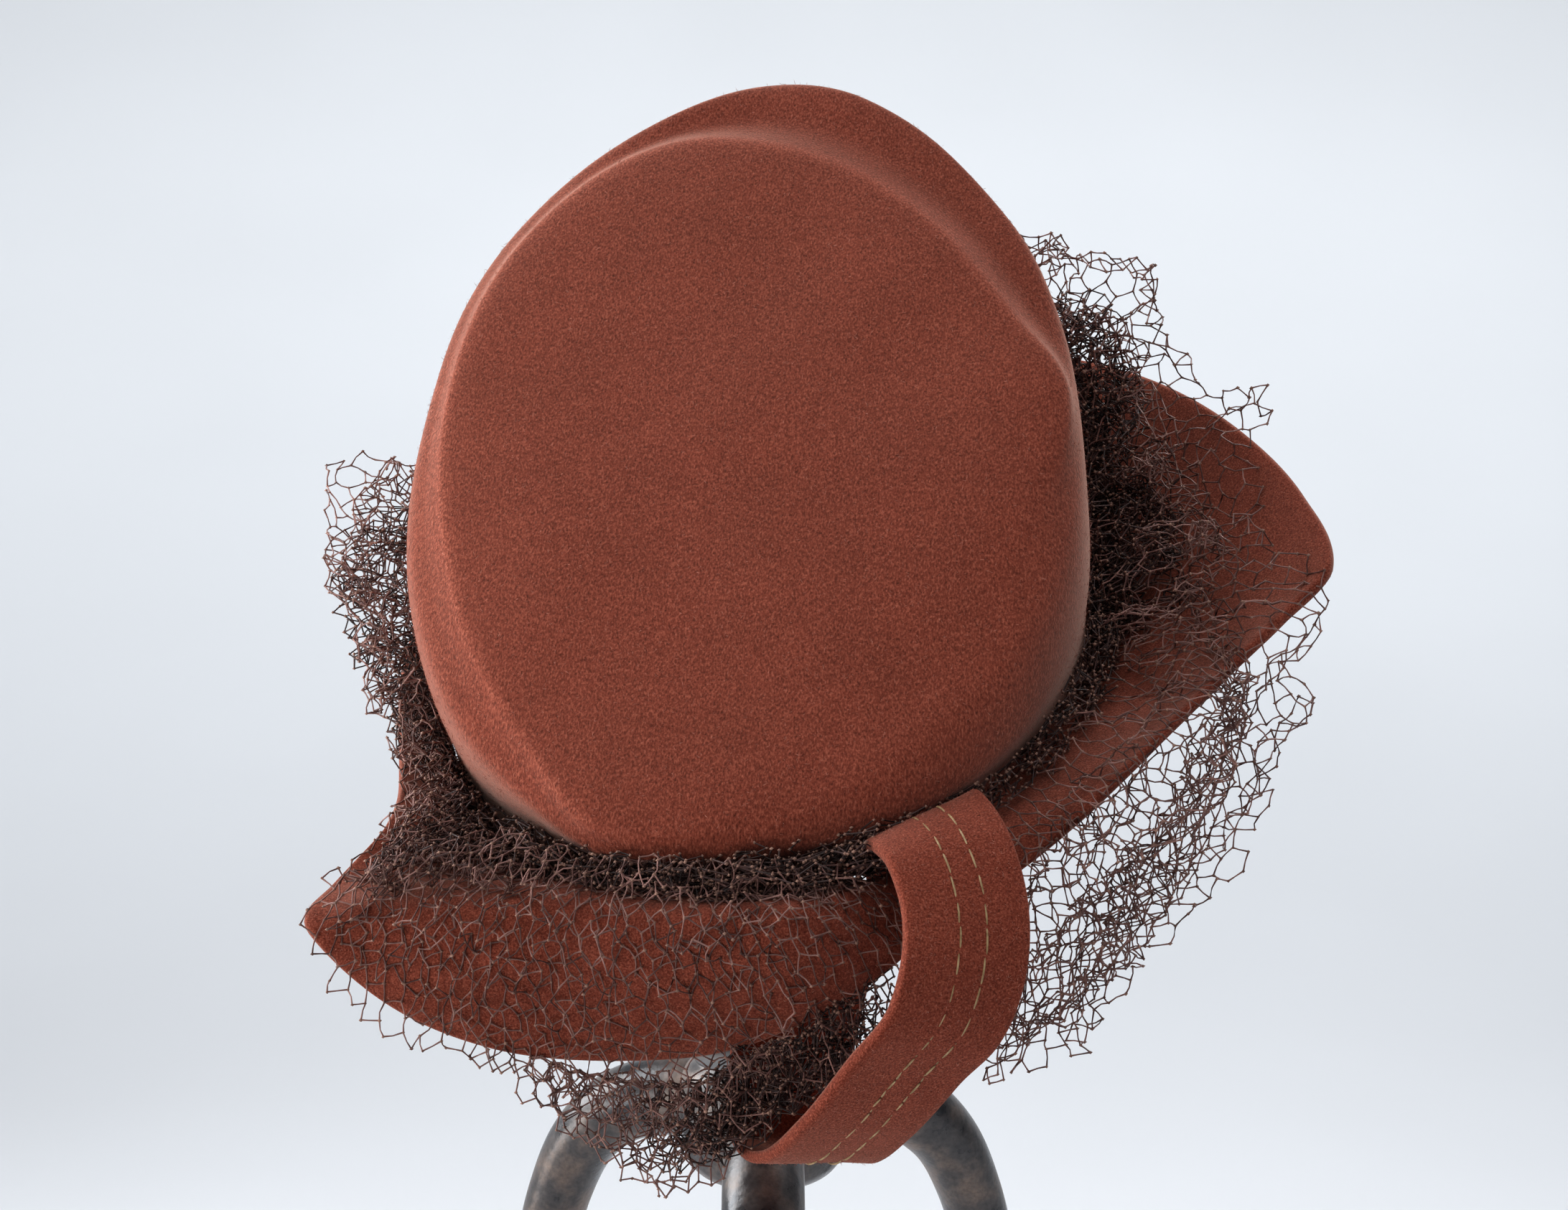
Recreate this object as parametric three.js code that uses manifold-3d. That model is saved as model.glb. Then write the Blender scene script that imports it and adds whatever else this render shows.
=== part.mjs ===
// A felt tilt hat with a net veil and a back strap, on an iron tripod stand.
// Millimetres, +Z up. The photograph looks along +Y, with +X to its right.
import * as THREE from "three";
import Module from "manifold-3d";

const wasm = await Module();
wasm.setup();

// Head line: the circle where the crown meets the brim. Its centre is over the stand's axis.
const HEAD_R = 80;
const HEAD_Z = 228;
const TILT_DEG = 29;
const ROLL_DEG = 11;

// Felt, and the clearance between neighbouring pieces.
const FELT = 2.6;
const GAP = 0.4;

// Crown: the slanted flat on top is the plane TIP_Z + TIP_SIDE * x + TIP_BACK * y.
const CROWN_SINK = 7;
const TIP_Z = 58;
const TIP_SIDE = 0.04;
const TIP_BACK = 0.5;
const TIP_X = 2;
const TIP_Y = 2;
const TIP_BULGE = 2;
const CROWN_STEPS = 60;
const WALL_STEPS = 10;
const TIP_STEPS = 4;

// The crown's wall, a row for each section round the head line (angle 0 is +X, 90 is the far side):
// its belly and crest, the radius of the ridge round the flat, and how far the felt dips behind the ridge.
const DIP_SHARE = 0.55;
const CROWN_SECTIONS = [
  { angle: 0, bellyR: 84, bellyZ: 30, crestR: 86, crestZ: 48, ridgeR: 84, dip: 0 },
  { angle: 15, bellyR: 85.5, bellyZ: 37, crestR: 89.5, crestZ: 62, ridgeR: 78, dip: 0.8 },
  { angle: 30, bellyR: 87.5, bellyZ: 43, crestR: 94, crestZ: 75, ridgeR: 76.5, dip: 1.8 },
  { angle: 60, bellyR: 90, bellyZ: 53, crestR: 102, crestZ: 96.5, ridgeR: 79, dip: 2.6 },
  { angle: 75, bellyR: 90, bellyZ: 57, crestR: 101.5, crestZ: 100, ridgeR: 81, dip: 2.4 },
  { angle: 90, bellyR: 89.5, bellyZ: 58, crestR: 94, crestZ: 99, ridgeR: 82.5, dip: 1.8 },
  { angle: 120, bellyR: 86.5, bellyZ: 52, crestR: 87, crestZ: 84.5, ridgeR: 78, dip: 1 },
  { angle: 150, bellyR: 83, bellyZ: 39, crestR: 78, crestZ: 67, ridgeR: 71.5, dip: 0.4 },
  { angle: 180, bellyR: 82, bellyZ: 26, crestR: 79, crestZ: 46, ridgeR: 70, dip: 0 },
  { angle: 210, bellyR: 82.5, bellyZ: 15, crestR: 82.5, crestZ: 27, ridgeR: 76, dip: 0 },
  { angle: 225, bellyR: 83, bellyZ: 9.5, crestR: 84.5, crestZ: 19, ridgeR: 81.5, dip: 0 },
  { angle: 240, bellyR: 83.5, bellyZ: 5, crestR: 88, crestZ: 11.5, ridgeR: 88.5, dip: 0 },
  { angle: 255, bellyR: 83.5, bellyZ: 5, crestR: 86, crestZ: 9.5, ridgeR: 84, dip: 0 },
  { angle: 270, bellyR: 83.5, bellyZ: 6, crestR: 82, crestZ: 14, ridgeR: 76, dip: 0 },
  { angle: 300, bellyR: 84, bellyZ: 9, crestR: 79.5, crestZ: 21, ridgeR: 62, dip: 0 },
  { angle: 330, bellyR: 84, bellyZ: 17, crestR: 82, crestZ: 34, ridgeR: 70, dip: 0 },
];

// Brim: each section is a curve from its root in the groove, drawn towards a pull point, to the cut edge.
// A fold over 1 draws it closer to that point, as in the panel that turns down at the front left.
// The two side points are near 215 and 351 degrees.
const BRIM_ROOT_Z = -4;
const BRIM_STEPS = 120;
const BRIM_ROWS = 5;
const BRIM_SECTIONS = [
  { angle: 0, pullR: 104, pullZ: -5, edgeR: 135.5, edgeZ: 16, fold: 1 },
  { angle: 12, pullR: 101, pullZ: -5, edgeR: 129, edgeZ: 18, fold: 1 },
  { angle: 30, pullR: 98, pullZ: -4, edgeR: 122, edgeZ: 17, fold: 1 },
  { angle: 60, pullR: 96, pullZ: -3, edgeR: 116, edgeZ: 8, fold: 1 },
  { angle: 90, pullR: 93, pullZ: 0, edgeR: 106, edgeZ: 0, fold: 1 },
  { angle: 120, pullR: 91, pullZ: 1, edgeR: 100, edgeZ: -2, fold: 1 },
  { angle: 150, pullR: 89, pullZ: 0, edgeR: 96, edgeZ: 0, fold: 1 },
  { angle: 180, pullR: 87, pullZ: 0, edgeR: 91, edgeZ: 2, fold: 1 },
  { angle: 197, pullR: 90, pullZ: 1, edgeR: 94.5, edgeZ: 4, fold: 1 },
  { angle: 206, pullR: 95, pullZ: 2, edgeR: 105, edgeZ: 5.5, fold: 1 },
  { angle: 211, pullR: 103, pullZ: 3, edgeR: 124.6, edgeZ: 6.8, fold: 1 },
  { angle: 213.5, pullR: 116, pullZ: 6.5, edgeR: 135, edgeZ: 8.6, fold: 1.5 },
  { angle: 216, pullR: 126, pullZ: 10.5, edgeR: 137.3, edgeZ: 6, fold: 2.2 },
  { angle: 220, pullR: 122.5, pullZ: 14, edgeR: 135.5, edgeZ: -4, fold: 2.2 },
  { angle: 226, pullR: 115, pullZ: 16, edgeR: 131.5, edgeZ: -13, fold: 2.2 },
  { angle: 233, pullR: 107.7, pullZ: 17, edgeR: 126.5, edgeZ: -19, fold: 2.2 },
  { angle: 240, pullR: 103.7, pullZ: 17, edgeR: 120, edgeZ: -24, fold: 2.2 },
  { angle: 250, pullR: 103, pullZ: 15.7, edgeR: 115.5, edgeZ: -25, fold: 2.2 },
  { angle: 259, pullR: 104, pullZ: 14.5, edgeR: 113, edgeZ: -24, fold: 2.2 },
  { angle: 268, pullR: 105, pullZ: 12, edgeR: 111, edgeZ: -20, fold: 2.2 },
  { angle: 274, pullR: 102, pullZ: 8.5, edgeR: 108.8, edgeZ: -17, fold: 2 },
  { angle: 279, pullR: 97.5, pullZ: 5, edgeR: 105.5, edgeZ: -15, fold: 1.6 },
  { angle: 285, pullR: 92, pullZ: 2, edgeR: 102.3, edgeZ: -12.5, fold: 1 },
  { angle: 300, pullR: 91, pullZ: -1, edgeR: 102, edgeZ: -5.5, fold: 1 },
  { angle: 322, pullR: 94, pullZ: -4, edgeR: 107, edgeZ: 3, fold: 1 },
  { angle: 337, pullR: 98, pullZ: -5, edgeR: 116.3, edgeZ: 4.2, fold: 1 },
  { angle: 345, pullR: 102, pullZ: -5, edgeR: 128, edgeZ: 7, fold: 1 },
  { angle: 350, pullR: 105, pullZ: -5, edgeR: 139.4, edgeZ: 12, fold: 1 },
];

// Slit in the brim's root, where the strap comes out.
const SLIT_FROM = 276;
const SLIT_TO = 305;
const SLIT_DEEP = 6.4;

// Back strap: rows along its middle line from the head line's centre, upright, with the way its width runs.
// It starts inside the hat, comes up through the slit, goes over the brim, down and back under.
const STRAP_WIDE = 30;
const STRAP_THICK = 2.8;
const STRAP_STEPS = 46;
const STRAP_ROWS = 3;
const STRAP_SECTIONS = [
  { x: 37.2, y: -63.2, z: -38.9, wideX: 0.867, wideY: 0.341, wideZ: 0.361 },
  { x: 36.3, y: -67.7, z: -31.8, wideX: 0.867, wideY: 0.341, wideZ: 0.361 },
  { x: 36.8, y: -75.6, z: -26.4, wideX: 0.88, wideY: 0.34, wideZ: 0.34 },
  { x: 41.5, y: -88.5, z: -29.6, wideX: 0.92, wideY: 0.33, wideZ: 0.2 },
  { x: 45.2, y: -99, z: -41, wideX: 0.94, wideY: 0.33, wideZ: 0.05 },
  { x: 44.8, y: -106, z: -53, wideX: 0.94, wideY: 0.34, wideZ: -0.05 },
  { x: 40.8, y: -108, z: -65, wideX: 0.92, wideY: 0.38, wideZ: -0.12 },
  { x: 32, y: -105, z: -77, wideX: 0.88, wideY: 0.44, wideZ: -0.2 },
  { x: 21.5, y: -97, z: -92.5, wideX: 0.84, wideY: 0.5, wideZ: -0.24 },
  { x: 12, y: -83, z: -104, wideX: 0.86, wideY: 0.48, wideZ: -0.15 },
  { x: 6, y: -69, z: -101, wideX: 0.9, wideY: 0.42, wideZ: 0.05 },
  { x: 7, y: -60, z: -84, wideX: 0.94, wideY: 0.3, wideZ: 0.18 },
  { x: 12, y: -55.5, z: -62, wideX: 0.95, wideY: 0.18, wideZ: 0.24 },
  { x: 16, y: -56.6, z: -44, wideX: 0.957, wideY: 0.13, wideZ: 0.256 },
];

// Veil: rows round the hat. The net starts in the groove at a share of the brim's width, passes over the brim
// by its lift, ends beyond the cut edge (over, rise) and hangs straight down by its drop.
const VEIL_THICK = 1.2;
const VEIL_OPEN = 0.76;
const VEIL_ROUND = 25;
const VEIL_BANDS = 4;
const VEIL_POINTED = 0.16;
const VEIL_START = 1.3;
const VEIL_SECTIONS = [
  { angle: 0, from: 0.2, lift: 9, over: 3, rise: 5, drop: 0 },
  { angle: 10, from: 0.2, lift: 12, over: 3, rise: 12, drop: 0 },
  { angle: 22, from: 0.2, lift: 15, over: 4, rise: 29, drop: 0 },
  { angle: 40, from: 0.2, lift: 16, over: 2, rise: 28, drop: 0 },
  { angle: 65, from: 0.2, lift: 12, over: -5, rise: 22, drop: 0 },
  { angle: 100, from: 0.2, lift: 12, over: -4, rise: 24, drop: 0 },
  { angle: 130, from: 0.2, lift: 13, over: 4, rise: 28, drop: 0 },
  { angle: 152, from: 0.2, lift: 14, over: 19, rise: 36, drop: 0 },
  { angle: 172, from: 0.2, lift: 14, over: 12, rise: 32, drop: 0 },
  { angle: 193, from: 0.2, lift: 10, over: 5, rise: 20, drop: 0 },
  { angle: 206, from: 0.2, lift: 6, over: 2, rise: 8, drop: 0 },
  { angle: 217, from: 0.2, lift: 5, over: 2, rise: 3, drop: 0 },
  { angle: 230, from: 0.2, lift: 5.5, over: 2, rise: 2, drop: 3 },
  { angle: 244, from: 0.2, lift: 5.5, over: 3, rise: 1, drop: 19 },
  { angle: 256, from: 0.2, lift: 5.5, over: 3, rise: 1, drop: 20 },
  { angle: 268, from: 0.3, lift: 5, over: 4, rise: 1, drop: 11 },
  { angle: 287, from: 0.52, lift: 4, over: 4, rise: 1, drop: 26 },
  { angle: 304, from: 0.42, lift: 4, over: 4, rise: 2, drop: 48 },
  { angle: 322, from: 0.2, lift: 5, over: 4, rise: 2, drop: 54 },
  { angle: 336, from: 0.2, lift: 6, over: 3, rise: 3, drop: 36 },
  { angle: 346, from: 0.2, lift: 7, over: 3, rise: 4, drop: 8 },
];

// Stand: a cast hub with three arched legs, and a plain post with a ball that carries the crown.
const HUB_TOP = 124;
const HUB_PROFILE = [
  { r: 0, z: 91.5 },
  { r: 8, z: 92 },
  { r: 15, z: 93.5 },
  { r: 19, z: 97 },
  { r: 20.8, z: 103 },
  { r: 20.5, z: 120 },
  { r: 17.5, z: HUB_TOP },
  { r: 0, z: HUB_TOP },
];
const HUB_SIDES = 24;
const LEG_ANGLES = [270, 30, 150];
const LEG_SIDES = 12;
const LEG_STEPS = 14;
const LEG_SECTIONS = [
  { r: 10, z: 110.5, wide: 19, thick: 20 },
  { r: 26, z: 110, wide: 19.5, thick: 20.5 },
  { r: 42, z: 105, wide: 20, thick: 19.5 },
  { r: 54, z: 94.5, wide: 20, thick: 17.5 },
  { r: 62, z: 79, wide: 19, thick: 16 },
  { r: 68, z: 58, wide: 18, thick: 15 },
  { r: 74, z: 34, wide: 17, thick: 14 },
  { r: 80, z: 12, wide: 17.5, thick: 14 },
  { r: 83, z: 0, wide: 19, thick: 16 },
];
const POST_R = 8;
const BALL_R = 20;
const BALL_Z = 284;
const POST_SIDES = 14;

const FELT_COLOR = "#8e4536";
const VEIL_COLOR = "#3a2622";
const IRON_COLOR = "#3d3835";

// A smooth closed curve through one column of a table, against the angle round the hat.
function around(rows, column) {
  const count = rows.length;
  const row = (i) => rows[THREE.MathUtils.euclideanModulo(i, count)];
  const angleAt = (i) => row(i).angle + 360 * Math.floor(i / count);
  const slopeAt = (i) =>
    (row(i + 1)[column] - row(i - 1)[column]) / (angleAt(i + 1) - angleAt(i - 1));
  return (degrees) => {
    const turn = THREE.MathUtils.euclideanModulo(degrees - rows[0].angle, 360) + rows[0].angle;
    let i = 0;
    while (angleAt(i + 1) <= turn) i += 1;
    const step = angleAt(i + 1) - angleAt(i);
    const t = (turn - angleAt(i)) / step;
    const rise = t * t * (3 - 2 * t);
    const lead = t * (1 - t) * (1 - t) * step * slopeAt(i);
    const tail = t * t * (t - 1) * step * slopeAt(i + 1);
    return row(i)[column] + (row(i + 1)[column] - row(i)[column]) * rise + lead + tail;
  };
}

// One smooth function of the angle for each column of a table.
function columns(rows) {
  const names = Object.keys(rows[0]).filter((name) => name !== "angle");
  return Object.fromEntries(names.map((name) => [name, around(rows, name)]));
}

// A point of the hat from its angle, radius and height.
function polar(degrees, radius, height) {
  const a = THREE.MathUtils.degToRad(degrees);
  return new THREE.Vector3(radius * Math.cos(a), radius * Math.sin(a), height);
}

function geometryOf(points, triangles) {
  const geometry = new THREE.BufferGeometry();
  const places = points.flatMap((p) => [p.x, p.y, p.z]);
  geometry.setAttribute("position", new THREE.Float32BufferAttribute(places, 3));
  geometry.setIndex(triangles.flat());
  geometry.computeVertexNormals();
  return geometry;
}

// The four-sided faces of a grid of points, which may close round its first index.
function gridFaces(count, rows, closed) {
  const faces = [];
  const at = (i, j) => (i % count) * rows + j;
  for (let i = 0; i < (closed ? count : count - 1); i += 1) {
    for (let j = 0; j + 1 < rows; j += 1) {
      faces.push([at(i, j), at(i + 1, j), at(i + 1, j + 1), at(i, j + 1)]);
    }
  }
  return faces;
}

// A closed wall from a surface: the surface raised and sunk along its normals, with a rim at each open edge.
function thicken(points, faces, above, below) {
  const normals = points.map(() => new THREE.Vector3());
  const edges = new Map();
  for (const face of faces) {
    const side = points[face[2]].clone().sub(points[face[0]]);
    const other = points[face[face.length - 1]].clone().sub(points[face[1]]);
    const normal = side.cross(other);
    face.forEach((a, k) => {
      const b = face[(k + 1) % face.length];
      normals[a].add(normal);
      if (!edges.delete(`${b},${a}`)) edges.set(`${a},${b}`, [a, b]);
    });
  }
  normals.forEach((normal) => normal.normalize());
  const count = points.length;
  const shift = (height) => points.map((p, i) => p.clone().addScaledVector(normals[i], height));
  const triangles = [];
  for (const face of faces) {
    for (let k = 1; k + 1 < face.length; k += 1) {
      triangles.push([face[0], face[k], face[k + 1]]);
      triangles.push([count + face[0], count + face[k + 1], count + face[k]]);
    }
  }
  for (const [a, b] of edges.values()) {
    triangles.push([a, count + a, b], [b, count + a, count + b]);
  }
  return geometryOf([...shift(above), ...shift(-below)], triangles);
}

// A closed solid through rings of points, capped at both ends.
function loft(rings) {
  const rows = rings[0].length;
  const points = rings.flat();
  const triangles = [];
  const at = (i, j) => i * rows + (j % rows);
  for (let i = 0; i + 1 < rings.length; i += 1) {
    for (let j = 0; j < rows; j += 1) {
      triangles.push([at(i, j), at(i, j + 1), at(i + 1, j + 1)]);
      triangles.push([at(i, j), at(i + 1, j + 1), at(i + 1, j)]);
    }
  }
  const middle = (ring) =>
    ring.reduce((sum, p) => sum.add(p), new THREE.Vector3()).divideScalar(rows);
  const first = points.push(middle(rings[0])) - 1;
  const last = points.push(middle(rings.at(-1))) - 1;
  for (let j = 0; j < rows; j += 1) {
    triangles.push([first, at(0, j + 1), at(0, j)]);
    triangles.push([last, at(rings.length - 1, j), at(rings.length - 1, j + 1)]);
  }
  return geometryOf(points, triangles);
}

// The crown's slanted flat.
const tipHeight = (x, y) => TIP_Z + TIP_SIDE * x + TIP_BACK * y;

// The crown: its wall from the foot over belly and crest to the ridge, then the flat inside the ridge.
function crownGeometry() {
  const section = columns(CROWN_SECTIONS);
  const middle = new THREE.Vector3(TIP_X, TIP_Y, tipHeight(TIP_X, TIP_Y) + TIP_BULGE);
  const points = [];
  for (let i = 0; i < CROWN_STEPS; i += 1) {
    const angle = (360 * i) / CROWN_STEPS;
    const ridge = polar(angle, section.ridgeR(angle), 0);
    ridge.z = tipHeight(ridge.x, ridge.y);
    const crest = polar(angle, section.crestR(angle), section.crestZ(angle));
    const dip = crest.clone().lerp(ridge, DIP_SHARE);
    dip.z -= section.dip(angle);
    const wall = new THREE.CatmullRomCurve3([
      polar(angle, HEAD_R, -CROWN_SINK),
      polar(angle, HEAD_R, 0),
      polar(angle, section.bellyR(angle), section.bellyZ(angle)),
      crest,
      dip,
      ridge,
    ]);
    points.push(...wall.getPoints(WALL_STEPS));
    for (let j = 1; j < TIP_STEPS; j += 1) {
      const share = j / TIP_STEPS;
      const point = ridge.clone().lerp(middle, share);
      point.z = tipHeight(point.x, point.y) + TIP_BULGE * (1 - (1 - share) ** 2);
      points.push(point);
    }
  }
  const rows = points.length / CROWN_STEPS;
  const faces = gridFaces(CROWN_STEPS, rows, true);
  const top = points.push(middle) - 1;
  for (let i = 0; i < CROWN_STEPS; i += 1) {
    faces.push([(i + 1) * rows - 1, (((i + 1) % CROWN_STEPS) + 1) * rows - 1, top]);
  }
  return thicken(points, faces, 0, FELT);
}

// The brim's upper surface at an angle, from the root (share 0) to the cut edge (share 1).
const brim = columns(BRIM_SECTIONS);
function brimPoint(degrees, share, slit = 0) {
  const turn = THREE.MathUtils.euclideanModulo(degrees, 360);
  const ends = [
    { weight: (1 - share) ** 2, r: HEAD_R + GAP + slit, z: BRIM_ROOT_Z },
    { weight: 2 * share * (1 - share) * brim.fold(turn), r: brim.pullR(turn), z: brim.pullZ(turn) },
    { weight: share ** 2, r: brim.edgeR(turn), z: brim.edgeZ(turn) },
  ];
  const whole = ends.reduce((sum, end) => sum + end.weight, 0);
  const mean = (key) => ends.reduce((sum, end) => sum + end.weight * end[key], 0) / whole;
  return polar(turn, mean("r"), mean("z"));
}

function brimGeometry() {
  const points = [];
  for (let i = 0; i < BRIM_STEPS; i += 1) {
    const angle = 360 - (360 * i) / BRIM_STEPS;
    const slit = angle > SLIT_FROM && angle < SLIT_TO ? SLIT_DEEP : 0;
    for (let j = 0; j < BRIM_ROWS; j += 1) {
      points.push(brimPoint(angle, j / (BRIM_ROWS - 1), slit));
    }
  }
  return thicken(points, gridFaces(BRIM_STEPS, BRIM_ROWS, true), 0, FELT);
}

// The strap: a flat band along its middle line.
function strapGeometry() {
  const line = new THREE.CatmullRomCurve3(
    STRAP_SECTIONS.map((row) => new THREE.Vector3(row.x, row.y, row.z)),
  );
  const wide = new THREE.CatmullRomCurve3(
    STRAP_SECTIONS.map((row) => new THREE.Vector3(row.wideX, row.wideY, row.wideZ)),
  );
  const points = [];
  for (let i = 0; i <= STRAP_STEPS; i += 1) {
    const t = i / STRAP_STEPS;
    const tangent = line.getTangent(t);
    const across = wide.getPoint(t);
    across.addScaledVector(tangent, -across.dot(tangent)).normalize();
    for (let j = 0; j < STRAP_ROWS; j += 1) {
      const off = STRAP_WIDE * (0.5 - j / (STRAP_ROWS - 1));
      points.push(line.getPoint(t).addScaledVector(across, off));
    }
  }
  const faces = gridFaces(STRAP_STEPS + 1, STRAP_ROWS, false);
  return thicken(points, faces, STRAP_THICK / 2, STRAP_THICK / 2);
}

const hat = new THREE.Group();
hat.rotation.set(
  THREE.MathUtils.degToRad(TILT_DEG),
  THREE.MathUtils.degToRad(-ROLL_DEG),
  0,
  "YXZ",
);
hat.position.set(0, 0, HEAD_Z);

// Straight down, as the tilted hat sees it.
const down = new THREE.Vector3(0, 0, -1).applyQuaternion(hat.quaternion.clone().invert());

// The veil's middle surface at an angle, from the groove (share 0) to its free edge (share 1).
const veil = columns(VEIL_SECTIONS);
function veilPoint(degrees, share) {
  const from = veil.from(degrees);
  const start = brimPoint(degrees, from);
  start.z += VEIL_START;
  const over = brimPoint(degrees, (1 + from) / 2);
  over.z += veil.lift(degrees);
  const end = brimPoint(degrees, 1).add(polar(degrees, veil.over(degrees), veil.rise(degrees)));
  const drop = Math.max(veil.drop(degrees), 0);
  const hem = end.clone().addScaledVector(down, drop);
  hem.add(end.clone().sub(over).setLength(3));
  return new THREE.CatmullRomCurve3([start, over, end, hem]).getPoint(share);
}

// The net: six-sided gaps in offset bands, each with a bar all round.
function veilGeometry() {
  const points = [];
  const faces = [];
  const round = 2 * VEIL_ROUND;
  const spot = (k, m, pointed) => {
    const share = (k + pointed + VEIL_POINTED) / (VEIL_BANDS + 2 * VEIL_POINTED);
    return veilPoint((-360 * m) / round, share);
  };
  for (let k = 0; k <= VEIL_BANDS; k += 1) {
    for (let m = 0; m < round; m += 1) {
      points.push(spot(k, m, (m + k) % 2 ? -VEIL_POINTED : VEIL_POINTED));
    }
  }
  for (let k = 0; k < VEIL_BANDS; k += 1) {
    for (let i = 0; i < VEIL_ROUND; i += 1) {
      const m = 2 * i + (k % 2);
      const corners = [
        { k, m, pointed: VEIL_POINTED },
        { k, m: m + 1, pointed: -VEIL_POINTED },
        { k, m: m + 2, pointed: VEIL_POINTED },
        { k: k + 1, m: m + 2, pointed: -VEIL_POINTED },
        { k: k + 1, m: m + 1, pointed: VEIL_POINTED },
        { k: k + 1, m, pointed: -VEIL_POINTED },
      ];
      const outer = corners.map((c) => c.k * round + (c.m % round));
      const inner = corners.map((c) => {
        const high = k + 0.5 + (c.k + c.pointed - k - 0.5) * VEIL_OPEN;
        return points.push(spot(high, m + 1 + (c.m - m - 1) * VEIL_OPEN, 0)) - 1;
      });
      corners.forEach((c, j) => {
        const next = (j + 1) % corners.length;
        faces.push([outer[j], outer[next], inner[next], inner[j]]);
      });
    }
  }
  return thicken(points, faces, VEIL_THICK / 2, VEIL_THICK / 2);
}

// One leg, as rings across its arch; the last ring lies flat on the floor.
function legGeometry(angle) {
  const path = new THREE.CatmullRomCurve3(
    LEG_SECTIONS.map((row) => polar(angle, row.r, row.z)),
  );
  const size = new THREE.CatmullRomCurve3(
    LEG_SECTIONS.map((row) => new THREE.Vector3(row.wide, row.thick, 0)),
  );
  const side = polar(angle + 90, 1, 0);
  const rings = [];
  for (let i = 0; i <= LEG_STEPS; i += 1) {
    const t = i / LEG_STEPS;
    const tangent = i === LEG_STEPS ? new THREE.Vector3(0, 0, -1) : path.getTangent(t);
    const upper = tangent.clone().cross(side).normalize();
    const { x: wide, y: thick } = size.getPoint(t);
    const ring = [];
    for (let j = 0; j < LEG_SIDES; j += 1) {
      const a = (2 * Math.PI * j) / LEG_SIDES;
      const point = path.getPoint(t);
      point.addScaledVector(side, (wide / 2) * Math.cos(a));
      point.addScaledVector(upper, (thick / 2) * Math.sin(a));
      ring.push(point);
    }
    rings.push(ring);
  }
  return loft(rings);
}

// A three.js geometry as a solid for joining, and back.
function solidOf(geometry) {
  return new wasm.Manifold(
    new wasm.Mesh({
      numProp: 3,
      vertProperties: geometry.attributes.position.array,
      triVerts: new Uint32Array(geometry.index.array),
    }),
  );
}

function geometryFrom(solid) {
  const { vertProperties, triVerts, numProp } = solid.getMesh();
  const points = [];
  for (let i = 0; i < vertProperties.length; i += numProp) {
    points.push(new THREE.Vector3(vertProperties[i], vertProperties[i + 1], vertProperties[i + 2]));
  }
  return geometryOf(points, [Array.from(triVerts)]);
}

// A turned solid, as rings up its axis.
function turnedGeometry(profile, sides) {
  const rings = profile.slice(1, -1).map((row) =>
    Array.from({ length: sides }, (_, j) => polar((360 * j) / sides, row.r, row.z)),
  );
  return loft(rings);
}

function standGeometry() {
  let solid = solidOf(turnedGeometry(HUB_PROFILE, HUB_SIDES));
  for (const angle of LEG_ANGLES) solid = solid.add(solidOf(legGeometry(angle)));
  return geometryFrom(solid);
}

// The post: a plain round bar from the hub, with a ball at its top.
function postGeometry() {
  const foot = HUB_TOP + GAP;
  const neck = Math.acos(POST_R / BALL_R);
  const profile = [{ r: 0, z: foot }, { r: POST_R, z: foot }];
  for (let i = 0; i <= 8; i += 1) {
    const a = -neck + ((Math.PI / 2 + neck) * i) / 8;
    profile.push({ r: Math.max(BALL_R * Math.cos(a), 1), z: BALL_Z + BALL_R * Math.sin(a) });
  }
  profile.push({ r: 0, z: BALL_Z + BALL_R });
  return turnedGeometry(profile, POST_SIDES);
}

function piece(name, geometry, color, roughness, metalness) {
  const material = new THREE.MeshStandardMaterial({ color, roughness, metalness });
  const mesh = new THREE.Mesh(geometry, material);
  mesh.name = name;
  return mesh;
}

const strap = piece("back_strap", strapGeometry(), FELT_COLOR, 0.95, 0);
strap.position.set(0, 0, HEAD_Z);

hat.add(piece("crown", crownGeometry(), FELT_COLOR, 0.95, 0));
hat.add(piece("brim", brimGeometry(), FELT_COLOR, 0.95, 0));
hat.add(piece("veil", veilGeometry(), VEIL_COLOR, 0.8, 0));

const stand = new THREE.Group();
stand.add(piece("stand", standGeometry(), IRON_COLOR, 0.6, 0.7));
stand.add(piece("stand_post", postGeometry(), IRON_COLOR, 0.6, 0.7));

// The whole stands on the floor with the middle of its box over the origin.
const whole = new THREE.Group();
whole.add(hat, strap, stand);
const box = new THREE.Box3().setFromObject(whole, true);
const middle = box.getCenter(new THREE.Vector3());
whole.position.set(-middle.x, -middle.y, -box.min.z);

const group = new THREE.Group();
group.add(whole);
export default group;
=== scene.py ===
import math

import bpy
import numpy as np
from mathutils import Matrix, Vector, noise


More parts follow.
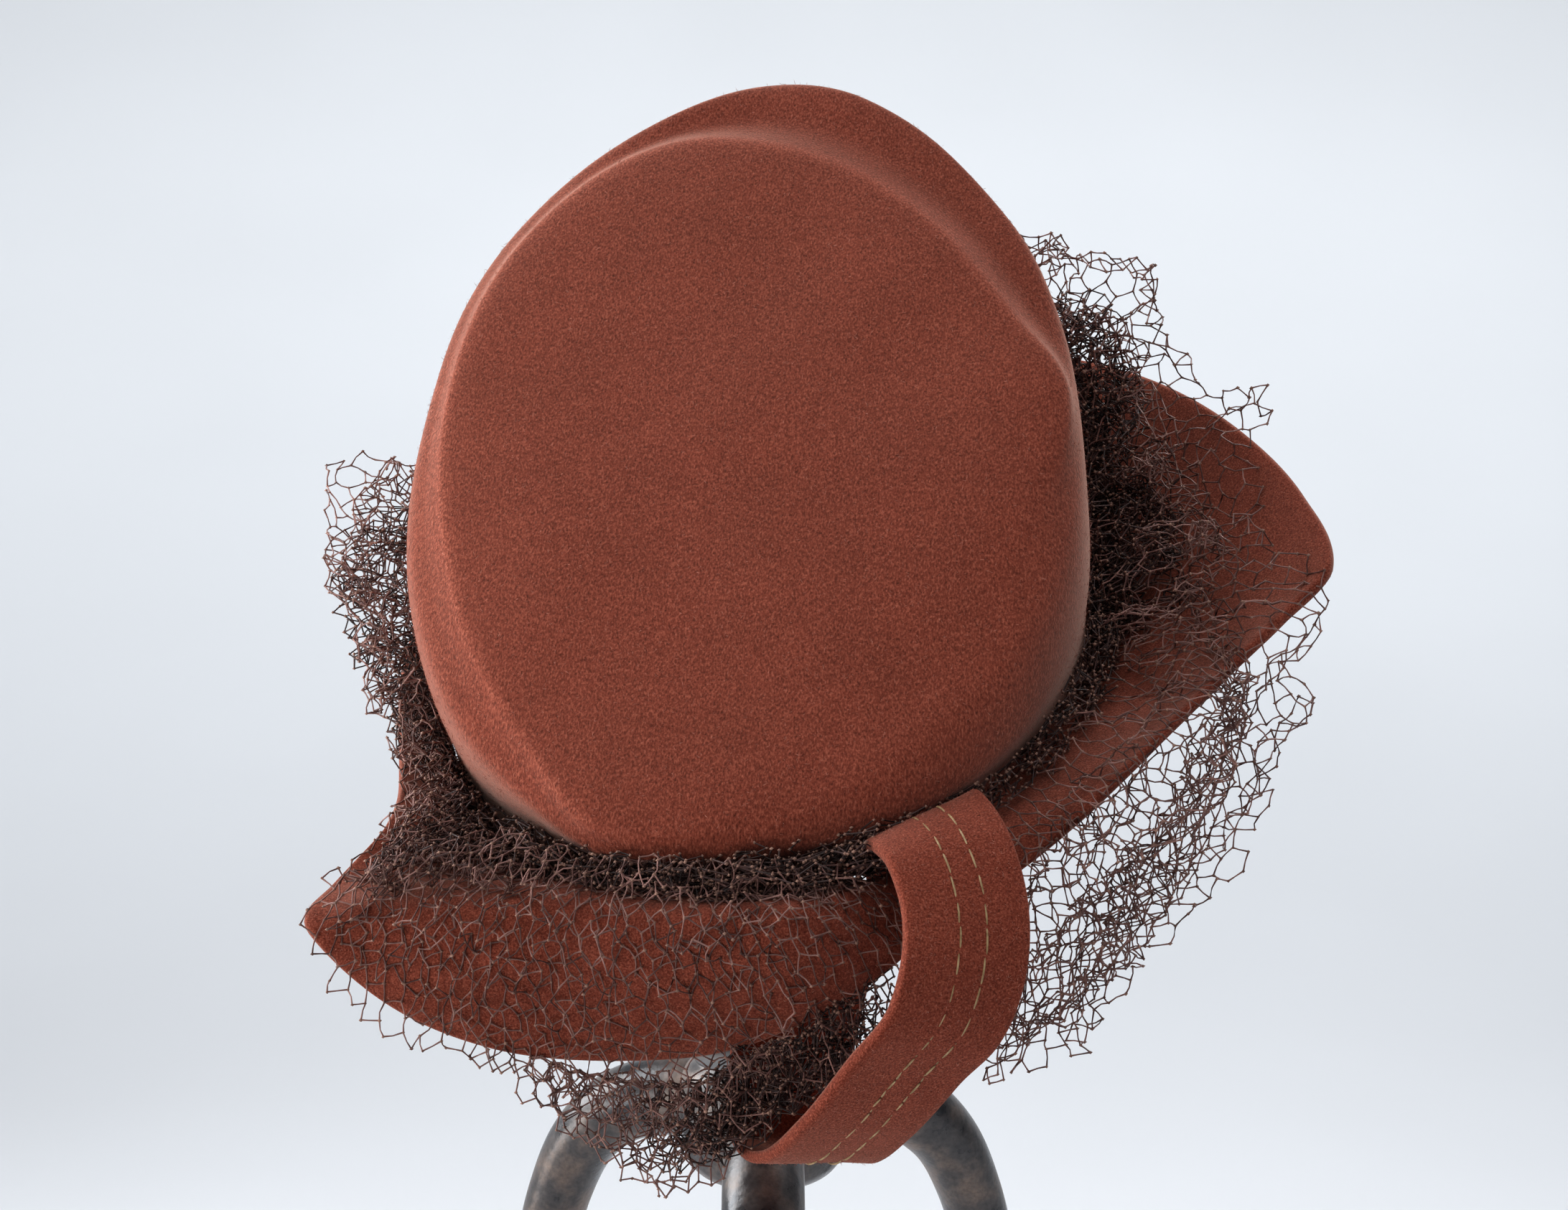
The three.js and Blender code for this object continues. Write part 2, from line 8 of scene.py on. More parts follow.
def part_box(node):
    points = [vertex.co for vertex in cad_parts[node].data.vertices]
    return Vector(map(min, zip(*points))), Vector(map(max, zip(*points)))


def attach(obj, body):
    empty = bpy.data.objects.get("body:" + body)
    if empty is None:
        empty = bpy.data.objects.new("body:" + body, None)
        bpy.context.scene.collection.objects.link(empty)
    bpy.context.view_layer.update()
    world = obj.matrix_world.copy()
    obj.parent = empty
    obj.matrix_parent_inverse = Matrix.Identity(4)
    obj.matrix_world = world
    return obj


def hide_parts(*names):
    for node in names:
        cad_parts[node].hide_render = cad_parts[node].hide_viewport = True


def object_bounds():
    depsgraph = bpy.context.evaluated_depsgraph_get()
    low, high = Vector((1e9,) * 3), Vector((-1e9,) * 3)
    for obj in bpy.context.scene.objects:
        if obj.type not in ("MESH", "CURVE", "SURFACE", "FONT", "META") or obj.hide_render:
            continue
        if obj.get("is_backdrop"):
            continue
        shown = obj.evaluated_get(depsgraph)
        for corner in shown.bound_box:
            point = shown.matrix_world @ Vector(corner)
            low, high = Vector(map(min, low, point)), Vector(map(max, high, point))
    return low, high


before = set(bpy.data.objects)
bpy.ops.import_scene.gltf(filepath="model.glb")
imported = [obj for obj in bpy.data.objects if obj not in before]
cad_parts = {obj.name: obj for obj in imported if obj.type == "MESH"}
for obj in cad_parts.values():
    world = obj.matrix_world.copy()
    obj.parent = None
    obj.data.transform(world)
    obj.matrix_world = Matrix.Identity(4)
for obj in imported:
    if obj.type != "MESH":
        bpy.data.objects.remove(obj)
cad_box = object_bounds()

# A felt tilt hat with a net veil and a stitched back strap, on an iron tripod stand.
# Sizes are millimetres in the hat's own axes: the head line is the circle z = 0, angle 0 is +X and
# 90 is the side away from the camera. TILTED and UPRIGHT turn them into the frame's metres.
MM = 0.001
SEED = 11
noise.seed_set(SEED)


def table(text):
    """A short table, as one array for each column that its first row names."""
    names, *rows = [row.split() for row in text.strip().splitlines()]
    return dict(zip(names, np.array(rows, float).T))


# The head line's place over the stand, and the felt.
HEAD_R = 80
HEAD_Z = 228
TILT = math.radians(29)
ROLL = math.radians(11)
FELT = 2.6
GAP = 0.4
EDGE_BULGE = 0.9

# Crown: its wall round the head line, the ridge round the slanted flat, how far the felt dips
# behind the ridge, how soft the ridge is, how wide the painted highlight along it runs (rubbed nap
# and painted light together), and the felt's slight dents.
CROWN_SINK = 7
TIP_Z = 58
TIP_SIDE = 0.04
TIP_BACK = 0.5
TIP_MIDDLE = (2, 2)
TIP_BULGE = 2
TIP_ROLL = 1.0
TIP_ROLL_WIDE = 4.0
DIP_SHARE = 0.55
CROWN_ROUND = 270
WALL_ROWS = 86
TIP_ROWS = 52
RIDGE_REACH = 15
SOFTEN_STEPS = 160
RUB_HIGHLIGHT_WIDE = 1.7
DENT = 0.7
DENT_SIZE = 34
DENT_SHIFT = 3
DENT_FROM_ROW = 12
CROWN = table("""
angle belly_r belly_z crest_r crest_z ridge_r dip soft
0 84 30 86 48 84 0 0.25
15 85.5 37 89.5 62 78 0.8 0.06
30 87.5 43 94 75 76.5 1.8 0.04
60 90 53 102 96.5 79 2.6 0.04
75 90 57 101.5 100 81 2.4 0.04
90 89.5 58 94 99 82.5 1.8 0.04
120 86.5 52 87 84.5 78 1 0.03
150 83 39 78 67 71.5 0.4 0.03
180 82 26 79 46 69 0 0.03
210 82.5 15 82.5 27 73.5 0 0.03
225 83 9.5 84.5 19 78.5 0 0.05
240 83.5 5 88 11.5 86.5 0 0.12
255 83.5 5 86 9.5 84 0 0.5
270 83.5 6 82 14 76 0 0.9
300 84 9 79.5 21 62 0 1
330 84 17 82 34 70 0 0.9
""")

# Brim: each section runs from its root in the groove, drawn towards a pull point, to the cut edge.
# A fold over 1 draws it closer to that point, as in the panel that turns down at the front left.
BRIM_ROOT_Z = -4
BRIM_ROUND = 540
BRIM_ROWS = 26
WAVE = 0.6
WAVE_SIZE = 22
WAVE_SHIFT = 8
BRIM = table("""
angle pull_r pull_z edge_r edge_z fold
0 104 -5 135.5 16 1
12 101 -5 129 18 1
30 98 -4 122 17 1
60 96 -3 116 8 1
90 93 0 106 0 1
120 91 1 100 -2 1
150 89 0 96 0 1
180 87 0 91 2 1
197 90 1 94.5 4 1
206 95 2 105 5.5 1
211 103 3 124.6 6.8 1
213.5 116 6.5 135 8.6 1.5
216 126 10.5 137.3 6 2.2
220 122.5 14 135.5 -4 2.2
226 115 16 131.5 -13 2.2
233 107.7 17 126.5 -19 2.2
240 103.7 17 120 -24 2.2
250 103 15.7 115.5 -25 2.2
259 104 14.5 113 -24 2.2
268 105 12 111 -20 2.2
274 102 8.5 108.8 -17 2
279 97.5 5 105.5 -15 1.6
285 92 2 102.3 -12.5 1
300 91 -1 102 -5.5 1
322 94 -4 107 3 1
337 98 -5 116.3 4.2 1
345 102 -5 128 7 1
350 105 -5 139.4 12 1
""")

# The slit at the brim's root where the strap comes out: degrees, and how deep it goes.
SLIT_MIDDLE = 291.1
SLIT_HALF = 12.8
SLIT_DEEP = 6.4
SLIT_CORNER = 1.5

# Back strap: its middle line from the head line's centre, in upright axes, and the way its width
# runs.
STRAP_WIDE = 30
STRAP_THICK = 2.8
STRAP_STEPS = 170
STRAP_ROWS = 16
RIPPLE = 0.35
RIPPLE_SIZE = 13
RIPPLE_SHIFT = 5
STRAP = table("""
x y z wide_x wide_y wide_z
37.2 -63.2 -38.9 0.867 0.341 0.361
36.3 -67.7 -31.8 0.867 0.341 0.361
36.8 -75.6 -26.4 0.88 0.34 0.34
41.5 -88.5 -29.6 0.92 0.33 0.2
45.2 -99 -41 0.94 0.33 0.05
44.8 -106 -53 0.94 0.34 -0.05
40.8 -108 -65 0.92 0.38 -0.12
32 -105 -77 0.88 0.44 -0.2
21.5 -97 -92.5 0.84 0.5 -0.24
12 -83 -104 0.86 0.48 -0.15
6 -69 -101 0.9 0.42 0.05
7 -60 -84 0.94 0.3 0.18
12 -55.5 -62 0.95 0.18 0.24
16 -56.6 -44 0.957 0.13 0.256
""")

# Two rows of top stitching along the strap: places across its width and along its length, and how
# far a stitch strays along, across and in its turn.
STITCH_ROWS = (-2.0, 4.3)
STITCH_FROM = 17
STITCH_TO = 145
STITCH_LONG = 5.95
STITCH_STEP = 6.1
STITCH_R = 0.24
STRAY_ALONG = 0.3
STRAY_ACROSS = 0.15
STRAY_TURN = 0.2

# Loose wool ends: how many stand on each felt piece, and their shortest and longest.
CROWN_ENDS = 26000, (0.5, 1.5)
BRIM_ENDS = 9000, (0.5, 1.4)
STRAP_ENDS = 5000, (0.4, 1.3)

# Net: one six-sided cell where the net lies open and where it is drawn up, its thread, bow and
# knots, and how uneven its sides are.
CELL = 7.6
DRAWN_CELL = 6.5
UNEVEN = 0.14
THREAD_R = 0.21
KNOT_R = 0.5
BOW = 0.22
BOWED_R = (1.25, 0.9, 1.25)
STRAIGHT_R = (1.05, 1.05)

# How the net is crushed: by noise of several sizes, each with its share and shift, by folds that
# run along the hem, and by rows closed up by a share, on the brim (flat) and below it (close). It
# is crushed less near the groove.
FOLD = 2.2
FOLD_LONG = 15
FOLD_WIDE = 6
PLEAT_RISE = 0.3
FOLD_NOISE = ((17, 1, 0), (8, 0.8, 40), (4, 0.4, 80))
LOOSE_AT = 12
LOOSE_LEAST = 0.25
CRUSH = table("""
angle flat close pleat
0 0.75 0.65 2.5
60 0.6 0.6 3
150 0.55 0.55 3.5
195 0.6 0.6 2.5
212 0.8 0.8 1
225 0.9 0.9 0.8
252 0.9 0.8 1
275 0.9 0.7 2
300 1 0.58 4.5
340 1 0.58 4.5
""")

# How the net finds its shape, how firmly it is held in the groove and elsewhere, and how far it
# keeps from the felt. Within some degrees of the slit it keeps off spots on the strap too.
RELAX_STEPS = 60
RELAX_SPEED = 1.5
BRACE_FIRM = 0.08
HOLD_ROOT = 0.6
HOLD = 0.035
NET_ROOM = 0.7
GATHER_ROOM = 0.5
STRAP_ROOM = 1.2
STRAP_DEGREES = 38
SPOT_STEPS = 60
SPOT_REACH = 14
SPOT_ROWS = 10
EDGE_SHARE = 1.02
UNDER_BRIM = 7

# Veil, main layer: the net starts at a share of the brim's width, passes over the brim by its lift,
# and ends at its reach of the brim's width, moved out and up (over, rise). From there it hangs down
# by its drop, rolls in by its curl, and turns back up inside by its tuck. crumple is how far it is
# crushed.
VEIL_START = 2.2
HEM_RUN = 3
HEM_SPARE = 1.05
CURL_RISE = 0.25
DRAPE_STEPS = 61
VEIL_SEED = 3
VEIL_CELLS = 149
VEIL_ROWS = 20
VEIL = table("""
angle start lift reach over rise drop curl tuck crumple
0 0.06 6 0.78 0 3 0 0 0 1.8
7 0.06 7 0.85 0 4 0 0 0 2
12 0.06 9 1 2 8 0 0 0 2
18 0.06 11 0.95 0 8 0 2 0 2.5
24 0.06 16 1 3 29 0 6 0 3
33 0.06 18 1 0 30 0 8 0 3.2
43 0.06 20 1 -2 36 0 8 0 3.2
65 0.06 14 1 -5 22 0 6 0 2.5
100 0.06 12 1 -4 22 0 5 0 2.5
130 0.06 13 1 3 26 0 5 0 2.5
141 0.06 14 1 13 30 0 3 0 2.5
150 0.06 15 1 19 34 0 2 0 2.5
160 0.06 15 1 14 32 0 4 0 2.8
172 0.06 15 1 9 31 0 4 0 2.8
182 0.06 13 1 5 26 0 3 0 2.6
193 0.06 9 0.95 0 14 0 2 0 2
202 0.06 6 0.8 0 7 0 0 0 1.6
208 0.06 4 0.66 0 4 0 0 0 1.2
213 0.06 4 0.8 0 3 0 0 0 1
217 0.06 3 1 0.5 2 0 0 0 1.3
224 0.06 2 1 0.5 1 1 0 0 1.4
231 0.06 2 1 1 1 1 0 0 1.5
237 0.06 2 1 1 1 2 0 0 1.6
242 0.06 2 1 2 1 5 0 0 1.7
250 0.06 2 1 3 1 11 0 0 1.8
260 0.06 2 1 2 1 14 0 0 1.8
270 0.1 2 1 2 1 12 0 0 1.6
276 0.3 2 1 2 1 12 0 0 1.4
283 0.75 3 1 4 1 20 0 0 1.6
292 0.65 3 1 4 1 36 0 0 1.6
300 0.42 3 1 4 1 44 0 0 1.6
310 0.3 3 1 4 1 48 0 0 1.5
320 0.12 3 1 4 1 44 0 0 1.5
330 0.06 4 1 4 2 42 0 0 1.5
340 0.06 4 1 3 2 33 0 0 1.6
344.5 0.06 5 1 1 2 23 0 0 1.6
347 0.06 5 0.94 0 2 4 0 0 1.4
350 0.06 6 0.82 0 2 0 0 0 1.4
355 0.06 6 0.76 0 3 0 0 0 1.6
""")

# A second lay of the main layer over the front left panel.
PANEL_STRETCH = (206, 276)
PANEL_SEED = 44

# Veil, second layer: fuller and more crushed, standing against the crown and over the groove.
UPPER_SEED = 17
UPPER_CELLS = 209
UPPER_ROWS = 20
UPPER = table("""
angle start lift reach over rise drop curl tuck crumple
0 0.02 16 0.62 0 12 0 10 0 4
14 0.02 19 0.66 0 15 0 10 0 4
24 0.02 20 0.8 0 23 0 10 0 4
34 0.02 22 0.8 0 31 0 12 0 4
45 0.02 24 0.8 -2 36 0 12 0 3.6
65 0.02 16 0.7 0 20 0 8 0 3
100 0.02 14 0.7 0 18 0 8 0 3
135 0.02 16 0.9 3 24 0 8 0 3.2
150 0.02 18 1 11 28 0 8 0 3.6
165 0.02 18 1 8 26 0 8 0 3.6
182 0.02 16 1 4 20 0 8 0 3.6
200 0.02 12 0.75 0 10 0 6 0 2.6
214 0.02 11 0.5 0 5 0 5 0 2.4
226 0.02 10 0.4 0 3 0 5 0 2
240 0.02 7 0.36 0 3 0 3 0 1.8
262 0.02 7 0.36 0 3 0 3 0 1.8
272 0.02 6 0.36 0 2 0 3 0 1.6
278 0.3 4 0.6 1 1 2 1 0 1.6
286 0.88 3 1 4 1 20 0 6 2
300 0.85 3 1 5 1 36 0 14 2
310 0.85 3 1 5 1 34 0 14 2
320 0.85 3 1 5 1 30 0 14 2.2
330 0.8 4 1 4 1 24 0 12 2.4
338 0.5 7 0.9 3 2 9 2 7 2.8
347 0.02 13 0.66 0 9 0 8 0 3.8
""")

# Bunches: stretches round the hat where the second layer lies several times over, each time pushed
# in by another share and tapered at both ends. Tufts and clumps do the same for net that hangs from
# the brim's edge at the front, the clumps being the denser.
TAPER = 0.4
BUNCH_STRAY = 4
BUNCH_SHIFT = 7
BUNCH_SEED = 20
TUFT_SEED = 31
CLUMP_SEED = 57
BUNCHES = table("""
start stop layers low high
349 56 6 0.35 1.0
16 54 3 0.7 1.02
128 206 3 0.45 0.95
204 232 2 0.5 0.95
""")
TUFTS = table("""
start stop layers low high
234 268 5 0.55 1.05
""")
CLUMPS = table("""
start stop layers low high
251 276 9 0.5 1.05
""")
HANG_CELLS = 182
HANG_ROWS = 16
HANG = table("""
angle start lift reach over rise drop curl tuck crumple
0 0.95 2 1 2 1 8 0 0 2.4
234 1 2 1.02 1 0 2 0 0 1.2
240 1.02 1 1.04 2 -1 5 0 0 1.6
245 1.03 1 1.06 3 -2 7.5 0 0 2
250 1.04 0 1.07 3 -3 8 0 3 2.2
256 1.04 0 1.07 3 -3 6 0 6 2.4
262 1.03 0 1.05 2 -2 6 0 6 2.4
269 1.03 0 1.05 2 -2 6 0 6 2.4
276 1.03 0 1.05 1 -2 6 0 4 2
""")

# Gathered net in the groove, as short runs of crushed thread in a loose roll: its middle and its
# size by the angle. Its threads run more along the groove than out of it or up, and a share of the
# runs has an end that stands out.
GATHER = table("""
angle r z size
0 84.6 2.2 1
200 85 3 1
225 89 7 1.2
245 90 7.5 1.4
262 90 6.5 1.4
276 88 4 1.7
282 87.5 3.5 1.9
288 87 3 1.4
300 86 2.5 0.9
330 84.6 2.2 1
""")
GATHER_R = 4.6
GATHER_RUNS = 1500
GATHER_LOOSE = 0.12
GATHER_WAYS = (1.6, 0.8, 0.8)

# Stand: a cast hub with three arched legs, and a plain post with a ball that carries the crown.
FOOT_REACH = 91
HUB_SIDES = 96
HUB = table("""
r z
8 92
15 93.5
19 97
20.8 103
20.5 120
17.5 124
""")
LEG_ANGLES = (270, 30, 150)
LEG_SIDES = 40
LEG_STEPS = 90
LEG = table("""
r z wide thick
10 110.5 19 20
26 110 19.5 20.5
42 105 20 19.5
54 94.5 20 17.5
62 79 19 16
68 58 18 15
74 34 17 14
80 12 17.5 14
83 0 19 16
""")

# Stage, in metres: its near edge, half its width, its top, where its floor starts to bend up into
# the wall, and the bend's radius.
STAGE_NEAR = -3
STAGE_SIDE = 3.5
STAGE_TOP = 3
STAGE_BEND_AT = 0.25
STAGE_BEND = 1.5

# Lamps: name, place and aim in metres (None is the hat), size, power, spread in degrees, colour.
LAMPS = (
    ("window", (-0.52, 0.17, 0.42), None, (0.36, 0.5), 1.12, 75, (0.95, 0.98, 1)),
    ("bounce", (-0.62, -0.1, 0.05), None, (0.4, 0.3), 0.72, 75, (1, 0.97, 0.94)),
    ("fill", (-0.4, -0.5, 0.06), None, (0.3, 0.2), 0.15, 60, (1, 0.98, 0.96)),
    ("ceiling", (0.2, 0.25, 1.35), None, (1.4, 1.2), 6.2, 180, (0.97, 0.98, 1)),
    ("sky", (0, -0.9, 2.9), (0, -0.9, 0), (7, 5), 46, 180, (0.96, 0.98, 1)),
    ("rim", (0.4, 0.75, 0.95), None, (0.5, 0.4), 1.15, 60, (0.97, 0.98, 1)),
    ("backdrop", (0, 0.35, 0.95), (0, 1.05, 0.22), (1.6, 0.3), 3.4, 120, (0.93, 0.97, 1)),
    ("front", (0, -0.5, 1.3), None, (1.4, 1.2), 3.0, 180, (0.97, 0.98, 1)),
)
WORLD_COLOR = (0.88, 0.93, 1, 1)
WORLD_STRENGTH = 0.14

# Camera: the photograph's lens and place, from the head line's centre.
CAMERA_LENS = 82.4
CAMERA_SENSOR = 36
CAMERA_PITCH = math.radians(9)
CAMERA_PLACE = (5.0, -877.3, 150.3)

stand_low, stand_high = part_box("stand")
AXIS = Vector(((stand_low.x + stand_high.x) / 2, stand_low.y + FOOT_REACH * MM, 0))
UPRIGHT = Matrix.Translation(AXIS + Vector((0, 0, HEAD_Z * MM))) @ Matrix.Scale(MM, 4)
FLOOR = Matrix.Translation(AXIS) @ Matrix.Scale(MM, 4)
TURN = Matrix.Rotation(-ROLL, 4, "Y") @ Matrix.Rotation(TILT, 4, "X")
TILTED = UPRIGHT @ TURN
DOWN = np.array(TURN.to_3x3().transposed() @ Vector((0, 0, -1)))


def unit(vectors):
    return vectors / np.maximum(np.linalg.norm(vectors, axis=-1, keepdims=True), 1e-9)


def polar(degrees, radius, height):
    """Points of the hat from angle, radius and height."""
    a = np.radians(degrees)
    r, z = radius + 0 * a, height + 0 * a
    return np.stack([r * np.cos(a), r * np.sin(a), z], -1)


def around(rows, column):
    """A smooth closed curve through one column of a table, against the angle round the hat."""
    angle, value = rows["angle"], rows[column]
    step = np.mod(np.roll(angle, -1) - angle, 360)
    slope = (np.roll(value, -1) - np.roll(value, 1)) / (step + np.roll(step, 1))

    def at(degrees):
        turn = np.mod(np.asarray(degrees, float) - angle[0], 360) + angle[0]
        i = np.searchsorted(angle, turn, side="right") - 1
        j = (i + 1) % len(angle)
        t = (turn - angle[i]) / step[i]
        lead = t * (1 - t) ** 2 * step[i] * slope[i]
        tail = t * t * (t - 1) * step[i] * slope[j]
        return value[i] + (value[j] - value[i]) * t * t * (3 - 2 * t) + lead + tail

    return at


def columns(rows):
    """One smooth function of the angle for each column of a table."""
    return {name: around(rows, name) for name in rows if name != "angle"}


def catmull(knots, t):
    """Places t (0 to 1) along smooth curves; knots has shape (count, ..., size)."""
    knots = np.asarray(knots, float)
    ends = 2 * knots[:1] - knots[1:2], 2 * knots[-1:] - knots[-2:-1]
    padded = np.concatenate([ends[0], knots, ends[1]])
    spans = len(knots) - 1
    place = np.clip(np.asarray(t, float), 0, 1) * spans
    i = np.minimum(place.astype(int), spans - 1)
    w = (place - i).reshape((-1,) + (1,) * (knots.ndim - 1))
    p = [padded[i + k] for k in range(4)]
    d = [np.sqrt(np.linalg.norm(p[k + 1] - p[k], axis=-1, keepdims=True)) for k in range(3)]
    d[1] = np.where(d[1] < 1e-4, 1, d[1])
    d[0] = np.where(d[0] < 1e-4, d[1], d[0])
    d[2] = np.where(d[2] < 1e-4, d[1], d[2])
    near = ((p[1] - p[0]) / d[0] - (p[2] - p[0]) / (d[0] + d[1]) + (p[2] - p[1]) / d[1]) * d[1]
    far = ((p[2] - p[1]) / d[1] - (p[3] - p[1]) / (d[1] + d[2]) + (p[3] - p[2]) / d[2]) * d[1]
    square = -3 * p[1] + 3 * p[2] - 2 * near - far
    cube = 2 * p[1] - 2 * p[2] + near + far
    return p[1] + near * w + square * w**2 + cube * w**3


def runs(line):
    """Length run along each line; line has shape (count, ..., 3)."""
    steps = np.linalg.norm(np.diff(line, axis=0), axis=-1)
    return np.concatenate([np.zeros((1,) + steps.shape[1:]), np.cumsum(steps, 0)])


def along(line, length):
    """The point at each line's own run length; line has shape (count, lines, 3)."""
    run = runs(line)
    i = np.clip((run < length).sum(0), 1, len(line) - 1)
    lines = np.arange(line.shape[1])
    a, b = run[i - 1, lines], run[i, lines]
    w = ((length - a) / np.maximum(b - a, 1e-9))[:, None]
    return line[i - 1, lines] * (1 - w) + line[i, lines] * w


def wobble(points, size, shift):
    """Smooth vector noise from -1 to 1 at each point, with bumps of about that size."""
    offset = Vector((shift, -shift, 0.5 * shift))
    return np.array([noise.noise_vector(Vector(p) / size + offset) for p in points])


def grid_faces(rows, across, close_rows=False, close_across=False):
    """Four-sided faces of a grid of points."""
    i = np.arange(rows if close_rows else rows - 1)
    j = np.arange(across if close_across else across - 1)
    i, j = np.meshgrid(i, j, indexing="ij")

    def at(a, b):
        return (a % rows) * across + b % across

    corners = [at(i, j), at(i + 1, j), at(i + 1, j + 1), at(i, j + 1)]
    return np.stack(corners, -1).reshape(-1, 4)


def grid_normals(grid, closed):
    """Normals of a grid of points, whose first index goes round the hat or along the strap."""
    forward = np.gradient(grid, axis=0)
    if closed:
        forward = np.roll(grid, -1, 0) - np.roll(grid, 1, 0)
    return unit(np.cross(forward, np.gradient(grid, axis=1)))


def cut_edge(upper, lower, inside):
    """Points round a cut felt edge, from one face to the other."""
    middle, half = (upper + lower) / 2, (upper - lower) / 2
    out = unit(upper - inside)
    turns = np.radians((35, 90, 145))
    rows = [middle + half * math.cos(a) + out * EDGE_BULGE * math.sin(a) for a in turns]
    return np.stack(rows, 1)


def make(name, points, faces, matrix, materials, marks=None):
    """A piece of the object in the frame's metres, from points in millimetres and its faces."""
    m = np.array(matrix)
    points = points.reshape(-1, 3) @ m[:3, :3].T + m[:3, 3]
    corners = np.concatenate([f.ravel() for f in faces])
    counts = np.concatenate([np.full(len(f), f.shape[1]) for f in faces])
    mesh = bpy.data.meshes.new(name)
    mesh.vertices.add(len(points))
    mesh.vertices.foreach_set("co", points.astype(np.float32).ravel())
    mesh.loops.add(len(corners))
    mesh.loops.foreach_set("vertex_index", corners.astype(np.int32))
    mesh.polygons.add(len(counts))
    mesh.polygons.foreach_set("loop_start", (np.cumsum(counts) - counts).astype(np.int32))
    mesh.polygons.foreach_set("use_smooth", np.ones(len(counts), bool))
    for material in materials:
        mesh.materials.append(material)
    if marks is not None:
        mesh.polygons.foreach_set("material_index", marks.astype(np.int32))
    mesh.update(calc_edges=True)
    mesh.validate()
    made = bpy.data.objects.new(name, mesh)
    bpy.context.collection.objects.link(made)
    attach(made, "root")
    return made


# Materials, all from nodes.


def add_node(tree, kind, inputs=None, **settings):
    made = tree.nodes.new(kind)
    for key, value in settings.items():
        setattr(made, key, value)
    for key, value in (inputs or {}).items():
        if isinstance(value, bpy.types.NodeSocket):
            tree.links.new(value, made.inputs[key])
        else:
            made.inputs[key].default_value = value
    return made


def new_material(name, **values):
    """A material with its tree, shader and place in the frame; values go to the shader."""
    material = bpy.data.materials.new(name)
    material.use_nodes = True
    tree = material.node_tree
    shader = tree.nodes["Principled BSDF"]
    for key, value in values.items():
        shader.inputs[key.replace("_", " ")].default_value = value
    place = add_node(tree, "ShaderNodeTexCoord").outputs["Object"]
    return material, tree, shader, place


def grain(tree, place, size, detail=2.0, rough=0.6, stretch=(1, 1, 1)):
    """Noise with grains of about that size in millimetres."""
    spot = add_node(tree, "ShaderNodeMapping", {"Vector": place, "Scale": stretch})
    inputs = {"Vector": spot.outputs["Vector"], "Scale": 1 / (size * MM)}
    inputs.update(Detail=detail, Roughness=rough)
    return add_node(tree, "ShaderNodeTexNoise", inputs).outputs["Fac"]


def ramp(tree, value, *stops):
    """Colours against a value, each stop a place and a colour."""
    made = add_node(tree, "ShaderNodeValToRGB", {"Fac": value})
    elements = made.color_ramp.elements
    while len(elements) < len(stops):
        elements.new(0.5)
    for element, (place, color) in zip(elements, stops):
        element.position = place
        element.color = (*color, 1)
    return made.outputs["Color"]


def mix(tree, amount, a, b):
    """One colour multiplied by another."""
    inputs = {0: amount, 6: a, 7: b}
    made = add_node(tree, "ShaderNodeMix", inputs, data_type="RGBA", blend_type="MULTIPLY")
    return made.outputs[2]


def bump(tree, shader, height, strength, distance, under=None):
    """A bump of that distance in millimetres, over another if there is one."""
    inputs = {"Height": height, "Strength": strength, "Distance": distance * MM}
    if under is not None:
        inputs["Normal"] = under
    made = add_node(tree, "ShaderNodeBump", inputs).outputs["Normal"]
    tree.links.new(made, shader.inputs["Normal"])
    return made


FELT_DARK = (0.09, 0.016, 0.009)
FELT_BASE = (0.22, 0.0435, 0.0245)
FELT_LIGHT = (0.4, 0.11, 0.066)
WHITE = (1, 1, 1)
RUB_HIGHLIGHT_TINT = (1.3, 1.45, 1.5)
FLECK_DARK = (0.32, 0.27, 0.25)
FLECK_PALE = (1.5, 1.6, 1.6)
FUZZ_PALE = (0.5, 0.21, 0.15)
IRON_BLUE = (0.028, 0.03, 0.035)
IRON_BASE = (0.085, 0.075, 0.073)
IRON_BROWN = (0.19, 0.14, 0.115)
FLOOR_PAINTED_SHADE = (0.68, 0.695, 0.72)
WALL_PAINTED_LIGHT = (0.83, 0.845, 0.87)


def grey(value):
    return (value, value, value)


def felt_material(name, shade, stretch, nap):
    """Brushed wool felt: matted fibres, dark and pale flecks, slow shade changes, a soft nap, and a
    painted highlight along the crown's ridge that also stands for rubbed nap.
    """
    material, tree, shader, place = new_material(
        name,
        Roughness=0.95,
        Specular_IOR_Level=0,
        Sheen_Weight=nap,
        Sheen_Roughness=0.5,
        Sheen_Tint=(1, 0.7, 0.57, 1),
    )
    fibres = grain(tree, place, 0.46, 3, 0.6, stretch)
    flecks = grain(tree, place, 0.36, 1, 0.5)
    slow = grain(tree, place, 16, 2)
    base = [c * shade for c in FELT_BASE]
    color = ramp(tree, fibres, (0.3, FELT_DARK), (0.52, base), (0.74, FELT_LIGHT))
    stops = (0.26, FLECK_DARK), (0.4, WHITE), (0.7, WHITE), (0.8, FLECK_PALE)
    specks = ramp(tree, flecks, *stops)
    color = mix(tree, 0.85, color, specks)
    color = mix(tree, 1, color, ramp(tree, slow, (0.3, grey(0.94)), (0.7, grey(1.05))))
    # Painted highlight: the rub attribute lightens the felt along the crown's crisp ridge. It
    # stands for light catching the ridge as well as for rubbed nap.
    rub_and_highlight = add_node(tree, "ShaderNodeAttribute", attribute_name="rub_and_highlight").outputs["Fac"]
    color = mix(tree, 1, color, ramp(tree, rub_and_highlight, (0, WHITE), (1, RUB_HIGHLIGHT_TINT)))
    tree.links.new(color, shader.inputs["Base Color"])
    under = bump(tree, shader, fibres, 0.45, 0.4)
    bump(tree, shader, flecks, 0.3, 0.25, under)
    return material


